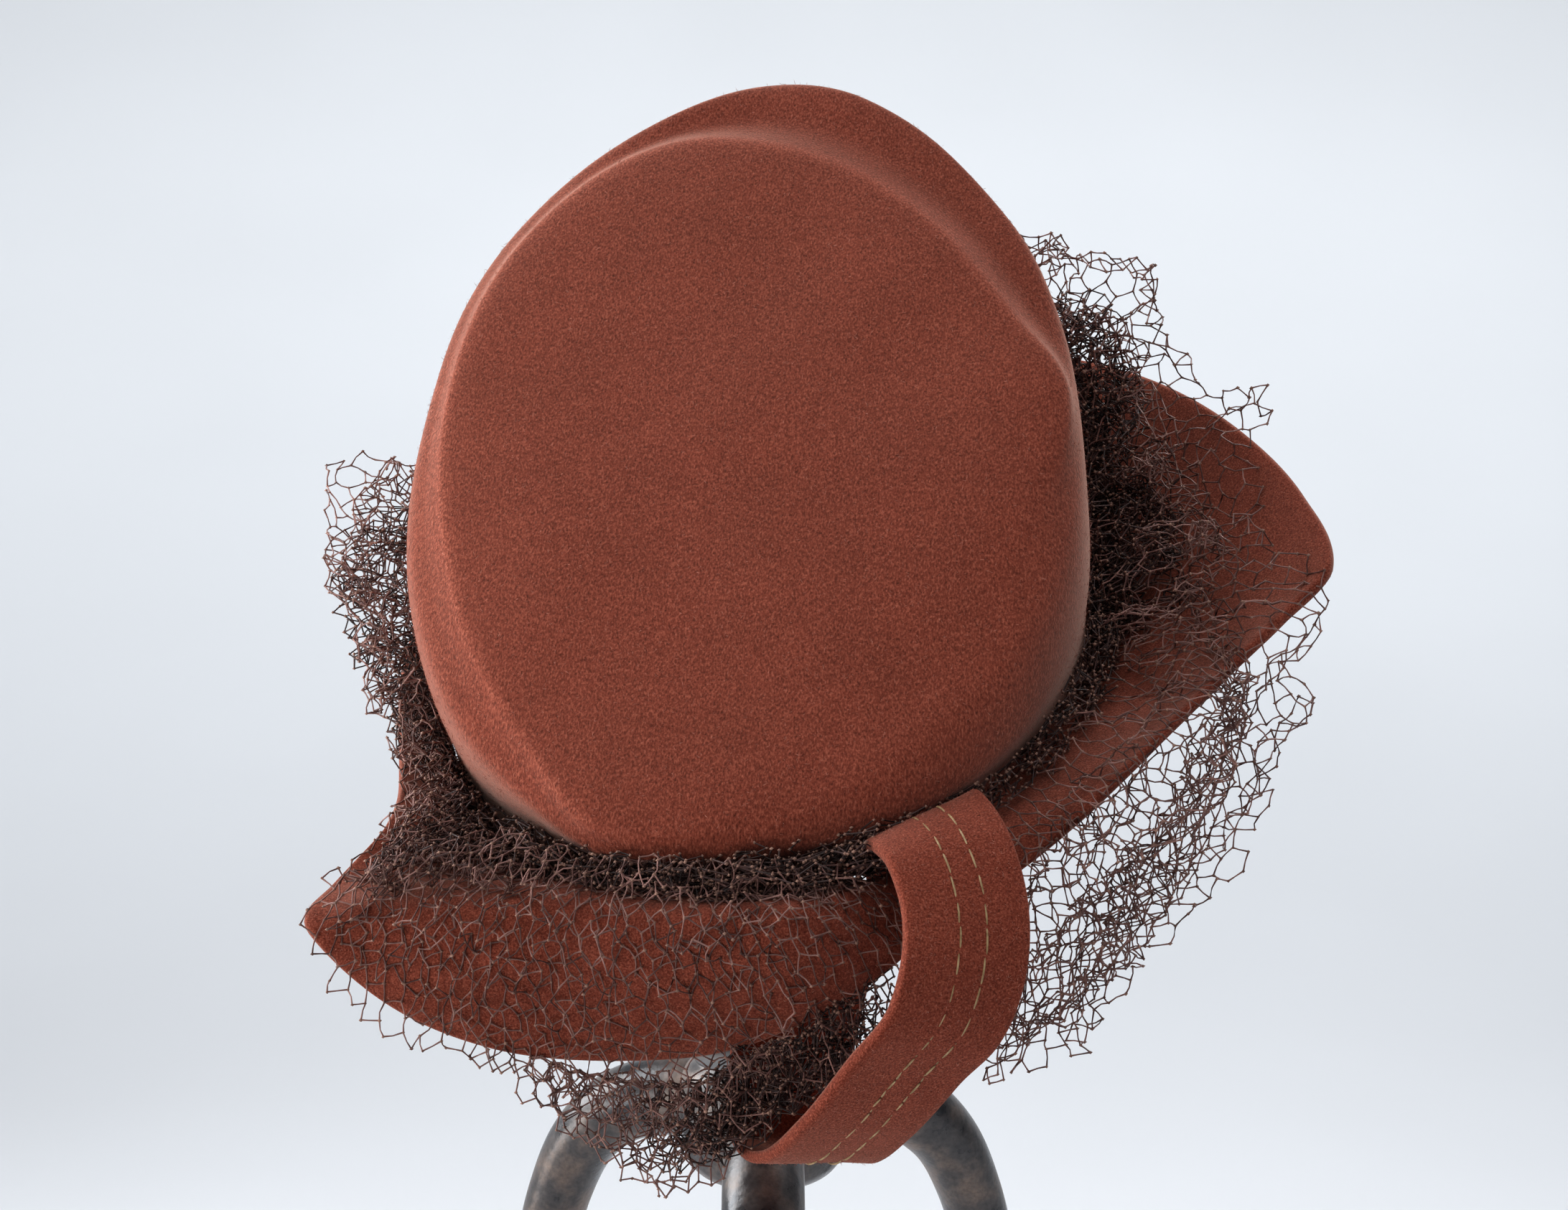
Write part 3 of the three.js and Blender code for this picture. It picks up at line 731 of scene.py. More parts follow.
def fuzz_material():
    """Loose wool ends, paler than the felt under them."""
    material, tree, shader, place = new_material(
        "felt_fuzz",
        Roughness=0.9,
        Specular_IOR_Level=0,
        Sheen_Weight=0.2,
    )
    color = ramp(tree, grain(tree, place, 0.8, 1), (0.35, FELT_BASE), (0.65, FUZZ_PALE))
    tree.links.new(color, shader.inputs["Base Color"])
    return material


def thread_material(name, dark, pale, size, rough):
    """A spun thread: shade changes along it, and a faint twist."""
    material, tree, shader, place = new_material(name, Specular_IOR_Level=0.25, Roughness=rough)
    color = ramp(tree, grain(tree, place, size, 2), (0.35, dark), (0.68, pale))
    tree.links.new(color, shader.inputs["Base Color"])
    bump(tree, shader, grain(tree, place, 0.35, 1), 0.4, 0.1)
    return material


def iron_material():
    """Dark cast iron: bluish where rubbed, brown where the patina is thick, finely pitted."""
    made = new_material("iron_patina", Metallic=0.45, Specular_IOR_Level=0.5)
    material, tree, shader, place = made
    patina = grain(tree, place, 14, 4, 0.62)
    pits = grain(tree, place, 1.1, 3, 0.6)
    color = ramp(tree, patina, (0.34, IRON_BLUE), (0.5, IRON_BASE), (0.66, IRON_BROWN))
    color = mix(tree, 0.7, color, ramp(tree, pits, (0.3, grey(0.55)), (0.6, WHITE)))
    tree.links.new(color, shader.inputs["Base Color"])
    gloss = ramp(tree, patina, (0.34, grey(0.22)), (0.66, grey(0.44)))
    tree.links.new(gloss, shader.inputs["Roughness"])
    under = bump(tree, shader, pits, 0.25, 0.3)
    bump(tree, shader, grain(tree, place, 6, 2), 0.2, 0.8, under)
    return material


CROWN_FELT = felt_material("crown_felt", 1.0, (1, 1, 0.45), 0.46)
BRIM_FELT = felt_material("brim_felt", 0.97, (1, 1, 1), 0.42)
STRAP_FELT = felt_material("strap_felt", 0.97, (1, 1, 1), 0.22)
FUZZ = fuzz_material()
# net_thread and net_painted_shade are lit and shaded copies of one thread. net_painted_shade is
# painted much darker, as painted shade, for net that lies deep in the groove, in the bunches and in
# the clumps.
NET = thread_material("net_thread", (0.07, 0.027, 0.022), (0.3, 0.15, 0.125), 6, 0.55)
SHADED_NET = thread_material("net_painted_shade", (0.015, 0.007, 0.006), (0.085, 0.04, 0.035), 6, 0.5)
KNOT = thread_material("net_knot", (0.1, 0.045, 0.033), (0.36, 0.2, 0.145), 3, 0.5)
OCHRE = thread_material("strap_thread", (0.26, 0.16, 0.07), (0.5, 0.345, 0.18), 2, 0.45)
IRON = iron_material()


# Felt pieces.


def tip_height(x, y):
    return TIP_Z + TIP_SIDE * x + TIP_BACK * y


def crown_surface(angles):
    """The crown's outside, sections round the hat by rows from its foot to the middle of the flat,
    and how much painted highlight each point gets along the ridge (rubbed nap and painted light)."""
    part = columns(CROWN)
    ridge = polar(angles, part["ridge_r"](angles), 0)
    ridge[:, 2] = tip_height(ridge[:, 0], ridge[:, 1]) - TIP_ROLL
    crest = polar(angles, part["crest_r"](angles), part["crest_z"](angles))
    dip = crest * (1 - DIP_SHARE) + ridge * DIP_SHARE
    dip[:, 2] -= part["dip"](angles)
    wall = catmull(
        [
            polar(angles, HEAD_R, -CROWN_SINK),
            polar(angles, HEAD_R, 0),
            polar(angles, part["belly_r"](angles), part["belly_z"](angles)),
            crest,
            dip,
            ridge,
        ],
        np.linspace(0, 1, WALL_ROWS),
    )
    share = (np.linspace(0, 1, TIP_ROWS) ** 1.3 * 0.985)[1:, None, None]
    flat = ridge * (1 - share) + np.array([*TIP_MIDDLE, 0]) * share
    inside = np.linalg.norm(flat[..., :2] - ridge[:, :2], axis=-1)
    roll = TIP_ROLL * np.exp(-inside / TIP_ROLL_WIDE)
    bulge = TIP_BULGE * (1 - (1 - share[..., 0]) ** 2)
    flat[..., 2] = tip_height(flat[..., 0], flat[..., 1]) + bulge - roll
    line = np.concatenate([wall, flat])
    run = runs(line)
    off = run - run[WALL_ROWS - 1]
    near = np.exp(-((off / RIDGE_REACH) ** 2))
    soft = part["soft"](angles)
    firm = (near * soft)[1:-1, :, None]
    for _ in range(SOFTEN_STEPS):
        line[1:-1] += 0.5 * firm * ((line[:-2] + line[2:]) / 2 - line[1:-1])
    # How much painted highlight each point gets, for rubbed nap and light on the ridge; only where
    # the ridge is crisp.
    rub_and_highlight = np.exp(-((off / RUB_HIGHLIGHT_WIDE) ** 2)) * np.clip(1 - soft / 0.4, 0, 1)
    return line.swapaxes(0, 1), rub_and_highlight.T


def crown_piece():
    angles = np.linspace(0, 360, CROWN_ROUND, endpoint=False)
    outer, rub_and_highlight = crown_surface(angles)
    normals = grid_normals(outer, True)
    dents = wobble(outer.reshape(-1, 3), DENT_SIZE, DENT_SHIFT).reshape(outer.shape)
    fade = np.clip(np.arange(outer.shape[1]) / DENT_FROM_ROW, 0, 1)[None, :, None]
    outer = outer + normals * dents[..., :1] * DENT * fade
    inner = (outer - normals * FELT)[:, ::-4]
    foot = cut_edge(inner[:, -1], outer[:, 0], outer[:, 2])
    rings = np.concatenate([inner, foot, outer], 1)
    count, across = rings.shape[:2]
    points = np.concatenate([rings.reshape(-1, 3), rings[:, :1].mean(0), rings[:, -1:].mean(0)])
    first = np.arange(count) * across
    after = np.roll(first, -1)
    inside = np.stack([np.full(count, count * across), after, first], -1)
    top = np.stack([np.full(count, count * across + 1), first + across - 1, after + across - 1], -1)
    faces = [grid_faces(count, across, close_rows=True), inside, top]
    made = make("crown_felt", points, faces, TILTED, [CROWN_FELT])
    # The painted ridge highlight goes to the felt as a point attribute.
    rub_and_highlight_rows = np.zeros((count, across))
    rub_and_highlight_rows[:, across - outer.shape[1] :] = rub_and_highlight
    shade = made.data.attributes.new("rub_and_highlight", "FLOAT", "POINT")
    shade.data.foreach_set("value", np.append(rub_and_highlight_rows.ravel(), [0, 0]).astype(np.float32))
    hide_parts("crown")
    return outer, normals


brim = columns(BRIM)


def brim_point(degrees, share, slit=0):
    """The brim's upper side at an angle, from the root (share 0) to the cut edge (share 1)."""
    a, b, c = (1 - share) ** 2, 2 * share * (1 - share) * brim["fold"](degrees), share**2
    r = a * (HEAD_R + GAP + slit) + b * brim["pull_r"](degrees) + c * brim["edge_r"](degrees)
    z = a * BRIM_ROOT_Z + b * brim["pull_z"](degrees) + c * brim["edge_z"](degrees)
    return polar(degrees, r / (a + b + c), z / (a + b + c))


def brim_piece():
    angles = np.linspace(0, 360, BRIM_ROUND, endpoint=False)
    off = SLIT_HALF - np.abs(angles - SLIT_MIDDLE)
    slit = SLIT_DEEP * np.clip(off / SLIT_CORNER + 0.5, 0, 1)
    shares = np.linspace(0, 1, BRIM_ROWS)
    upper = np.stack([brim_point(angles, s, slit) for s in shares], 1)
    normals = -grid_normals(upper, True)
    waves = wobble(upper.reshape(-1, 3), WAVE_SIZE, WAVE_SHIFT).reshape(upper.shape)[..., :1]
    upper = upper + normals * waves * WAVE * shares[None, :, None]
    lower = upper - normals * FELT
    edge = cut_edge(upper[:, -1], lower[:, -1], upper[:, -3])
    root = cut_edge(lower[:, 0], upper[:, 0], upper[:, 2])
    rings = np.concatenate([upper, edge, lower[:, ::-1], root], 1)
    count, across = rings.shape[:2]
    faces = [grid_faces(count, across, True, True)[:, ::-1]]
    made = make("brim_felt", rings, faces, TILTED, [BRIM_FELT])
    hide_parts("brim")
    return upper, normals


def strap_frame(t):
    """The strap's middle line with its width and outward directions."""
    line = catmull(np.stack([STRAP["x"], STRAP["y"], STRAP["z"]], -1), t)
    wide = catmull(np.stack([STRAP["wide_x"], STRAP["wide_y"], STRAP["wide_z"]], -1), t)
    way = unit(np.gradient(line, axis=0))
    wide = unit(wide - way * (wide * way).sum(-1, keepdims=True))
    return line, wide, np.cross(way, wide)


def strap_piece():
    line, wide, out = strap_frame(np.linspace(0, 1, STRAP_STEPS))
    off = np.linspace(-0.5, 0.5, STRAP_ROWS)[None, :, None] * (STRAP_WIDE - 2 * EDGE_BULGE)
    middle = line[:, None] + wide[:, None] * off
    ripple = wobble(middle.reshape(-1, 3), RIPPLE_SIZE, RIPPLE_SHIFT).reshape(middle.shape)
    middle = middle + out[:, None] * ripple[..., :1] * RIPPLE
    upper = middle + out[:, None] * STRAP_THICK / 2
    lower = middle - out[:, None] * STRAP_THICK / 2
    right = cut_edge(upper[:, -1], lower[:, -1], upper[:, -3])
    left = cut_edge(lower[:, 0], upper[:, 0], upper[:, 2])
    rings = np.concatenate([upper, right, lower[:, ::-1], left], 1)
    count, across = rings.shape[:2]
    caps = np.stack([np.arange(across)[::-1], np.arange(across) + (count - 1) * across])
    faces = [grid_faces(count, across, close_across=True), caps]
    made = make("strap_felt", rings, faces, UPRIGHT, [STRAP_FELT])
    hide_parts("back_strap")
    return upper, out


def tubes(paths, radii, sides):
    """Thin tubes along paths of shape (count, steps, 3); radii has a value for each step."""
    way = unit(np.gradient(paths, axis=1))
    helper = np.where(np.abs(way[..., 2:]) < 0.8, [[[0.0, 0, 1]]], [[[1.0, 0, 0]]])
    side = unit(np.cross(way, helper))
    other = np.cross(way, side)
    turn = np.linspace(0, 2 * math.pi, sides, endpoint=False)
    spin = np.cos(turn)[:, None] * side[..., None, :] + np.sin(turn)[:, None] * other[..., None, :]
    points = paths[..., None, :] + spin * np.asarray(radii)[None, :, None, None]
    count, steps = paths.shape[:2]
    faces = grid_faces(steps, sides, close_across=True)
    starts = np.arange(count)[:, None, None] * steps * sides
    return points.reshape(-1, 3), (faces[None] + starts).reshape(-1, 4)


def stitch_piece():
    """Ochre top stitching: each stitch sinks into the felt at both ends."""
    t = np.linspace(0, 1, 900)
    line, wide, out = strap_frame(t)
    run = runs(line[:, None])[:, 0]
    share = np.linspace(0, 1, 7)
    rise = STRAP_THICK / 2 + STITCH_R * (1.5 * np.sin(math.pi * share) ** 0.5 - 1.1)
    rng = np.random.default_rng(SEED)
    paths = []
    for row in STITCH_ROWS:
        starts = np.arange(STITCH_FROM, STITCH_TO, STITCH_STEP)
        for start in starts + rng.uniform(-STRAY_ALONG, STRAY_ALONG, len(starts)):
            at = np.interp(start + STITCH_LONG * share, run, np.arange(len(t)))
            i = at.astype(int)
            w = (at - i)[:, None]
            blend = [a[i] * (1 - w) + a[i + 1] * w for a in (line, wide, out)]
            across = row + rng.uniform(-STRAY_ACROSS, STRAY_ACROSS)
            across = across + rng.uniform(-STRAY_TURN, STRAY_TURN) * (share - 0.5)
            paths.append(blend[0] + blend[1] * across[:, None] + blend[2] * rise[:, None])
    radii = STITCH_R * np.array([0.5, 0.9, 1, 1, 1, 0.9, 0.5])
    points, faces = tubes(np.array(paths), radii, 8)
    make("strap_stitches", points, [faces], UPRIGHT, [OCHRE])


def fuzz_piece(name, surface, normals, ends, matrix, seed):
    """Loose wool ends that stand off a felt surface: a grid of points with its normals."""
    count, long = ends
    rng = np.random.default_rng(seed)
    a, b, c = surface[:-1, :-1], surface[1:, :-1], surface[:-1, 1:]
    area = np.linalg.norm(np.cross(b - a, c - a), axis=-1).ravel()
    cell = rng.choice(area.size, count, p=area / area.sum())
    i, j = np.divmod(cell, surface.shape[1] - 1)
    u, v = rng.random((2, count, 1))
    corner = surface[i, j]
    root = corner + (surface[i + 1, j] - corner) * u + (surface[i, j + 1] - corner) * v
    normal = normals[i, j]
    flat = unit(np.cross(normal, rng.normal(size=(count, 3))))
    lift = rng.uniform(0.15, 0.9, (count, 1)) ** 1.5
    way = unit(flat + normal * lift)
    bend = unit(np.cross(way, rng.normal(size=(count, 3))))
    reach = rng.uniform(*long, (count, 1))
    wide = unit(np.cross(way, rng.normal(size=(count, 3)))) * rng.uniform(0.025, 0.05, (count, 1))
    middle = root + way * reach * 0.55 + bend * reach * 0.1
    tip = root + way * reach + bend * reach * rng.uniform(-0.3, 0.3, (count, 1))
    points = np.stack([root - wide, root + wide, middle - wide, middle + wide, tip], 1)
    start = np.arange(count)[:, None] * 5
    faces = [start + np.array([0, 1, 3, 2]), start + np.array([2, 3, 4])]
    make(name, points, faces, matrix, [FUZZ])


# Net.


def lattice(cells, rows):
    """A six-sided net closed round the hat: each knot's turn and row, its threads and braces."""
    round_ = 2 * cells
    row, column = np.divmod(np.arange(rows * round_), round_)
    down = (row + column) % 2 == 0
    place = row + np.where(down, 1 / 6, -1 / 6)

    def knot(c, r):
        return r * round_ + c % round_

    inner = row < rows - 1
    post = down & inner
    ring = np.stack([knot(column, row), knot(column + 1, row)], -1)
    posts = np.stack([knot(column, row), knot(column, row + 1)], -1)[post]
    braces = [np.stack([knot(column, row), knot(column + 2, row)], -1)]
    for turn in (-1, 1):
        braces.append(np.stack([knot(column + turn, row), knot(column, row + 1)], -1)[post])
        braces.append(np.stack([knot(column, row), knot(column + turn, row + 1)], -1)[post])
    return column / round_, place, np.concatenate([ring, posts]), np.concatenate(braces)


def drape(part, degrees, squeeze):
    """Five knots of the curve that the net follows at each angle; squeeze pushes it in."""
    value = {name: at(degrees)[:, None] for name, at in part.items()}
    squeeze = squeeze[:, None]
    start = value["start"]
    reach = start + (value["reach"] - start) * squeeze
    lift = np.array([0, 0, 1.0])
    begin = brim_point(degrees, start[:, 0]) + lift * VEIL_START
    over = brim_point(degrees, ((reach + start) / 2)[:, 0]) + lift * value["lift"] * squeeze
    out = polar(degrees, 1, 0)
    end = brim_point(degrees, reach[:, 0]) + (out * value["over"] + lift * value["rise"]) * squeeze
    hem = end + DOWN * np.maximum(value["drop"], 0) * squeeze + unit(end - over) * HEM_RUN
    hem = hem + (CURL_RISE * lift - out) * value["curl"] * squeeze
    tuck = hem - (DOWN + CURL_RISE * out) * np.maximum(value["tuck"], 0) * squeeze
    return np.stack([begin, over, end, hem, tuck])


def wall_radius(crown):
    """The crown's outside radius by angle and height, as a lookup."""
    heights = np.arange(-8, 112.0)
    wall = crown[:, :WALL_ROWS]
    r = np.hypot(wall[..., 0], wall[..., 1])
    grid = np.stack([np.where(np.abs(wall[..., 2] - h) < 2, r, 0).max(1) for h in heights], 1)

    def at(degrees, z):
        i = np.round(degrees / 360 * len(grid)).astype(int) % len(grid)
        j = np.clip(np.round(z - heights[0]).astype(int), 0, len(heights) - 1)
        return np.where(z < heights[-1], grid[i, j], 0)

    return at


def keep_clear(points, wall, strap_spots, room):
    """Moves net knots out of the felt: off the brim, the crown's wall and the strap."""
    degrees = np.degrees(np.arctan2(points[:, 1], points[:, 0])) % 360
    r, z = np.hypot(points[:, 0], points[:, 1]), points[:, 2]
    r = np.maximum(r, wall(degrees, z) + room)
    fold = brim["fold"](degrees)
    near, far = HEAD_R + GAP - r, brim["edge_r"](degrees) - r
    pulled = fold * (brim["pull_r"](degrees) - r)
    bend = near - pulled
    square = np.sqrt(np.maximum(bend**2 - near * (near - 2 * pulled + far), 0))
    t = np.where(near < 0, -near / np.maximum(square - bend, 1e-6), 0)
    a, b, c = (1 - t) ** 2, 2 * t * (1 - t) * fold, t * t
    height = a * BRIM_ROOT_Z + b * brim["pull_z"](degrees) + c * brim["edge_z"](degrees)
    height = height / (a + b + c)
    over = (t < EDGE_SHARE) & (z > height - UNDER_BRIM)
    z = np.where(over, np.maximum(z, height + room), z)
    points = polar(degrees, r, z)
    near = np.flatnonzero(np.abs(degrees - SLIT_MIDDLE) < STRAP_DEGREES)
    away = points[near, None] - strap_spots[None]
    gap = np.linalg.norm(away, axis=-1)
    rows, k = np.arange(len(near)), gap.argmin(1)
    push = np.clip(STRAP_THICK / 2 + STRAP_ROOM - gap[rows, k], 0, None)[:, None]
    points[near] += unit(away[rows, k]) * push
    return points


def relax(points, springs, target, hold, clear):
    """Lets a net find its shape: threads keep their length while the knots stay near the drape."""
    count = len(points)
    for _ in range(RELAX_STEPS):
        move, share = np.zeros_like(points), np.zeros(count)
        for pairs, length, firm in springs:
            gap = points[pairs[:, 1]] - points[pairs[:, 0]]
            far = np.maximum(np.linalg.norm(gap, axis=1), 1e-6)
            pull = (0.5 * firm * (far - length) / far)[:, None] * gap
            for end, sign in ((0, 1), (1, -1)):
                for axis in range(3):
                    move[:, axis] += sign * np.bincount(pairs[:, end], pull[:, axis], count)
                share += firm * np.bincount(pairs[:, end], minlength=count)
        points = points + RELAX_SPEED * move / np.maximum(share, 1)[:, None]
        points = clear(points + hold[:, None] * (target - points))
    return points


def net_mesh(points, threads, seed, bowed):
    """Threads, straight or with a slight bow between knots, and a small lump at each knot."""
    rng = np.random.default_rng(seed)
    a, b = points[threads[:, 0]], points[threads[:, 1]]
    paths, radii = np.stack([a, b], 1), STRAIGHT_R
    if bowed:
        middle = (a + b) / 2 + rng.normal(0, BOW, a.shape)
        paths, radii = np.stack([a, middle, b], 1), BOWED_R
    verts, faces = tubes(paths, THREAD_R * np.array(radii), 3)
    used = np.unique(threads)
    lump = np.concatenate([np.eye(3), -np.eye(3)])
    corners = [(x, y, z) for x in (0, 3) for y in (1, 4) for z in (2, 5)]
    sides = np.array([(x, y, z) if (x + y + z) % 2 else (x, z, y) for x, y, z in corners])
    sizes = KNOT_R * rng.uniform(0.7, 1.3, (len(used), 1, 3))
    knots = points[used][:, None] + lump * sizes
    lumps = (sides + (np.arange(len(used)) * len(lump))[:, None, None] + len(verts)).reshape(-1, 3)
    marks = np.concatenate([np.zeros(len(faces)), np.ones(len(lumps))])
    return np.concatenate([verts, knots.reshape(-1, 3)]), [faces, lumps], marks


def net_layer(net, seed, wall, strap_spots, squeeze=1.0, stretch=None):
    """One layer of the veil: a net laid along its drape, crushed, and let find its shape. A stretch
    keeps only the part between two angles, and tapers it at both."""
    rows, cells, net_rows, cell = net
    part, crush = columns(rows), columns(CRUSH)
    rng = np.random.default_rng(seed)
    turn, place, threads, braces = lattice(cells, net_rows)
    edge = brim_point(np.arange(0, 361.0), 1.0)
    hem_run = runs(edge[:, None])[:, 0]
    degrees = np.interp(turn * hem_run[-1], hem_run, np.arange(0, 361.0))
    push = np.full(len(degrees), squeeze)
    kept = np.ones(len(degrees), bool)
    if stretch is not None:
        inside = (degrees - stretch[0]) % 360 / ((stretch[1] - stretch[0]) % 360)
        kept = inside <= 1
        push *= TAPER + (1 - TAPER) * np.sqrt(np.sin(math.pi * np.clip(inside, 0, 1)))
    side = cell / math.sqrt(3)
    line = catmull(drape(part, degrees, push), np.linspace(0, 1, DRAPE_STEPS))
    length, edge_run = runs(line)[-1], runs(line)[DRAPE_STEPS // 2]
    down = place * 1.5 * side * crush["flat"](degrees)
    beyond = (down - edge_run) * crush["close"](degrees) / crush["flat"](degrees)
    down = np.where(down < edge_run, down, edge_run + beyond)
    kept &= down <= length * HEM_SPARE
    target = along(line, np.clip(down, 0, length))
    loose = np.clip(down / LOOSE_AT, LOOSE_LEAST, 1)[:, None]
    folds = sum(share * wobble(target, size, seed + shift) for size, share, shift in FOLD_NOISE)
    lanes = np.stack([degrees / FOLD_LONG, down / FOLD_WIDE, 0 * down], -1)
    pleats = crush["pleat"](degrees)[:, None] * wobble(lanes, 1, seed)[:, :1]
    pleats = pleats * polar(degrees, 1, PLEAT_RISE)
    crushed = target + FOLD * loose * (part["crumple"](degrees)[:, None] * folds + pleats)
    while True:
        whole = kept[threads].all(1)
        ends = np.bincount(threads[whole].ravel(), minlength=len(kept))
        frayed = kept & (ends < 2)
        if not frayed.any():
            break
        kept &= ~frayed
    new = np.cumsum(kept) - 1
    threads = new[threads[kept[threads].all(1)]]
    braces = new[braces[kept[braces].all(1)]]
    hold = np.where(down[kept] < side, HOLD_ROOT, HOLD)
    lengths = side * rng.uniform(1 - UNEVEN, 1 + UNEVEN, len(threads))
    springs = [(threads, lengths, 1.0), (braces, cell, BRACE_FIRM)]

    def clear(points):
        return keep_clear(points, wall, strap_spots, NET_ROOM)

    points = relax(clear(crushed[kept]), springs, crushed[kept], hold, clear)
    return points, threads


def joined(nets):
    """Several nets as one: their knots, and their threads renumbered."""
    counts = np.cumsum([0] + [len(points) for points, _ in nets])
    threads = [threads + count for (_, threads), count in zip(nets, counts)]
    return np.concatenate([points for points, _ in nets]), np.concatenate(threads)


def bunch_layers(bunches, net, seed, wall, strap_spots):
    """The crushed layers of every bunch, as one net."""
    rng = np.random.default_rng(seed)
    nets = []
    for first, last, layers, low, high in zip(*bunches.values()):
        for squeeze in np.linspace(low, high, int(layers)):
            stray = rng.uniform(-BUNCH_STRAY, BUNCH_STRAY, 2)
            stretch = first + stray[0], last + stray[1]
            shift = seed + BUNCH_SHIFT * len(nets)
            nets.append(net_layer(net, shift, wall, strap_spots, squeeze, stretch))
    return joined(nets)


def tangle(wall, strap_spots):
    """The net gathered in the groove: runs of three threads that turn every way in a loose roll, a
    few of them with an end that stands out."""
    rng = np.random.default_rng(SEED + 5)
    part = columns(GATHER)
    places = np.arange(0, 360, 0.1)
    density = part["size"](places) ** 2
    degrees = rng.choice(places, GATHER_RUNS, p=density / density.sum())
    offset = rng.normal(0, GATHER_R / 2, (2, GATHER_RUNS))
    path = [polar(degrees, part["r"](degrees) + offset[0], part["z"](degrees) + offset[1])]
    loose = rng.random(GATHER_RUNS) < GATHER_LOOSE
    for turn in range(3):
        ways = rng.normal(0, 1, (3, GATHER_RUNS, 1)) * np.array(GATHER_WAYS)[:, None, None]
        flat = ways[0] * polar(degrees + 90, 1, 0) + ways[1] * polar(degrees, 1, 0)
        way = unit(flat + ways[2] * [0, 0, 1])
        point = path[-1] + way * CELL / math.sqrt(3) * rng.uniform(0.8, 1.2, (GATHER_RUNS, 1))
        degrees = np.degrees(np.arctan2(point[:, 1], point[:, 0])) % 360
        middle = np.stack([part["r"](degrees), part["z"](degrees)], -1)
        off = np.stack([np.hypot(point[:, 0], point[:, 1]), point[:, 2]], -1) - middle
        room = GATHER_R * part["size"](degrees) / np.maximum(np.linalg.norm(off, axis=1), 1e-6)
        room = np.where(loose & (turn == 2), 1, np.minimum(room, 1))
        r, z = (middle + off * room[:, None]).T
        path.append(polar(degrees, r, z))
    points = keep_clear(np.stack(path, 1).reshape(-1, 3), wall, strap_spots, GATHER_ROOM)
    index = np.arange(len(points)).reshape(GATHER_RUNS, 4)
    return points, np.stack([index[:, :-1], index[:, 1:]], -1).reshape(-1, 2)


# Stand.


def lofted(rings):
    """Points and faces of rings (count, sides, 3) with a flat cap at each end."""
    count, sides = rings.shape[:2]
    caps = np.stack([np.arange(sides)[::-1], np.arange(sides) + (count - 1) * sides])
    faces = grid_faces(count, sides, close_across=True)
    return rings.reshape(-1, 3), [faces[:, ::-1], caps[:, ::-1]]


def stand_piece():
    """The tripod: a turned hub and three arched legs."""
    turn = np.linspace(0, 360, HUB_SIDES, endpoint=False)
    profile = catmull(np.stack([HUB["r"], HUB["z"], 0 * HUB["r"]], -1), np.linspace(0, 1, 40))
    points, faces = lofted(np.stack([polar(turn, r, z) for r, z, _ in profile]))
    t = np.linspace(0, 1, LEG_STEPS)
    sizes = catmull(np.stack([LEG["wide"], LEG["thick"], 0 * LEG["r"]], -1), t)
    a = np.linspace(0, 2 * math.pi, LEG_SIDES, endpoint=False)
    for angle in LEG_ANGLES:
        path = catmull(polar(np.full(len(LEG["r"]), angle), LEG["r"], LEG["z"]), t)
        way = unit(np.gradient(path, axis=0))
        way[-1] = (0, 0, -1)
        side = polar(np.array(angle + 90.0), 1, 0)
        upper = unit(np.cross(way, side))
        ring = path[:, None] + sizes[:, None, :1] / 2 * np.cos(a)[:, None] * side
        ring = ring + sizes[:, None, 1:2] / 2 * np.sin(a)[:, None] * upper[:, None]
        ring[..., 2] = np.maximum(ring[..., 2], 0)
        more, sides = lofted(ring)
        faces += [f + len(points) for f in sides]
        points = np.concatenate([points, more])
    made = make("tripod_iron", points, faces, FLOOR, [IRON])
    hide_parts("stand")


crown_outside, crown_normals = crown_piece()
brim_upper, brim_normals = brim_piece()
strap_upper, strap_out = strap_piece()
stitch_piece()
stand_piece()
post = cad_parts["stand_post"]
post.data.materials.clear()
post.data.materials.append(IRON)

fuzz_piece("crown_fuzz", crown_outside, crown_normals, CROWN_ENDS, TILTED, SEED + 1)
fuzz_piece("brim_fuzz", brim_upper, brim_normals, BRIM_ENDS, TILTED, SEED + 2)
strap_normals = np.repeat(strap_out[:, None], strap_upper.shape[1], 1)
fuzz_piece("strap_fuzz", strap_upper, strap_normals, STRAP_ENDS, UPRIGHT, SEED + 3)

wall_at = wall_radius(crown_outside)
line, wide, out = strap_frame(np.linspace(0, 1, SPOT_STEPS))
across = np.linspace(-SPOT_REACH, SPOT_REACH, SPOT_ROWS)[None, :, None]
spots = line[:, None] + wide[:, None] * across
spots = spots.reshape(-1, 3) @ np.array(TURN.to_3x3())


def net_piece(name, net, seed, bowed=True, thread=None):
    """A net as a piece of the veil. Most of it is holes, so its area is that of its threads."""
    knots, threads = net
    points, faces, marks = net_mesh(knots, threads, seed, bowed)
    made = make(name, points, faces, TILTED, [thread or NET, KNOT], marks)
    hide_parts("veil")


veil_net = VEIL, VEIL_CELLS, VEIL_ROWS, CELL
upper_net = UPPER, UPPER_CELLS, UPPER_ROWS, DRAWN_CELL
hang_net = HANG, HANG_CELLS, HANG_ROWS, DRAWN_CELL
felt = wall_at, spots
main = net_layer(veil_net, VEIL_SEED, *felt)
net_piece("veil_net", main, SEED + 7)
upper = net_layer(upper_net, UPPER_SEED, *felt)
net_piece("veil_upper", upper, SEED + 8)
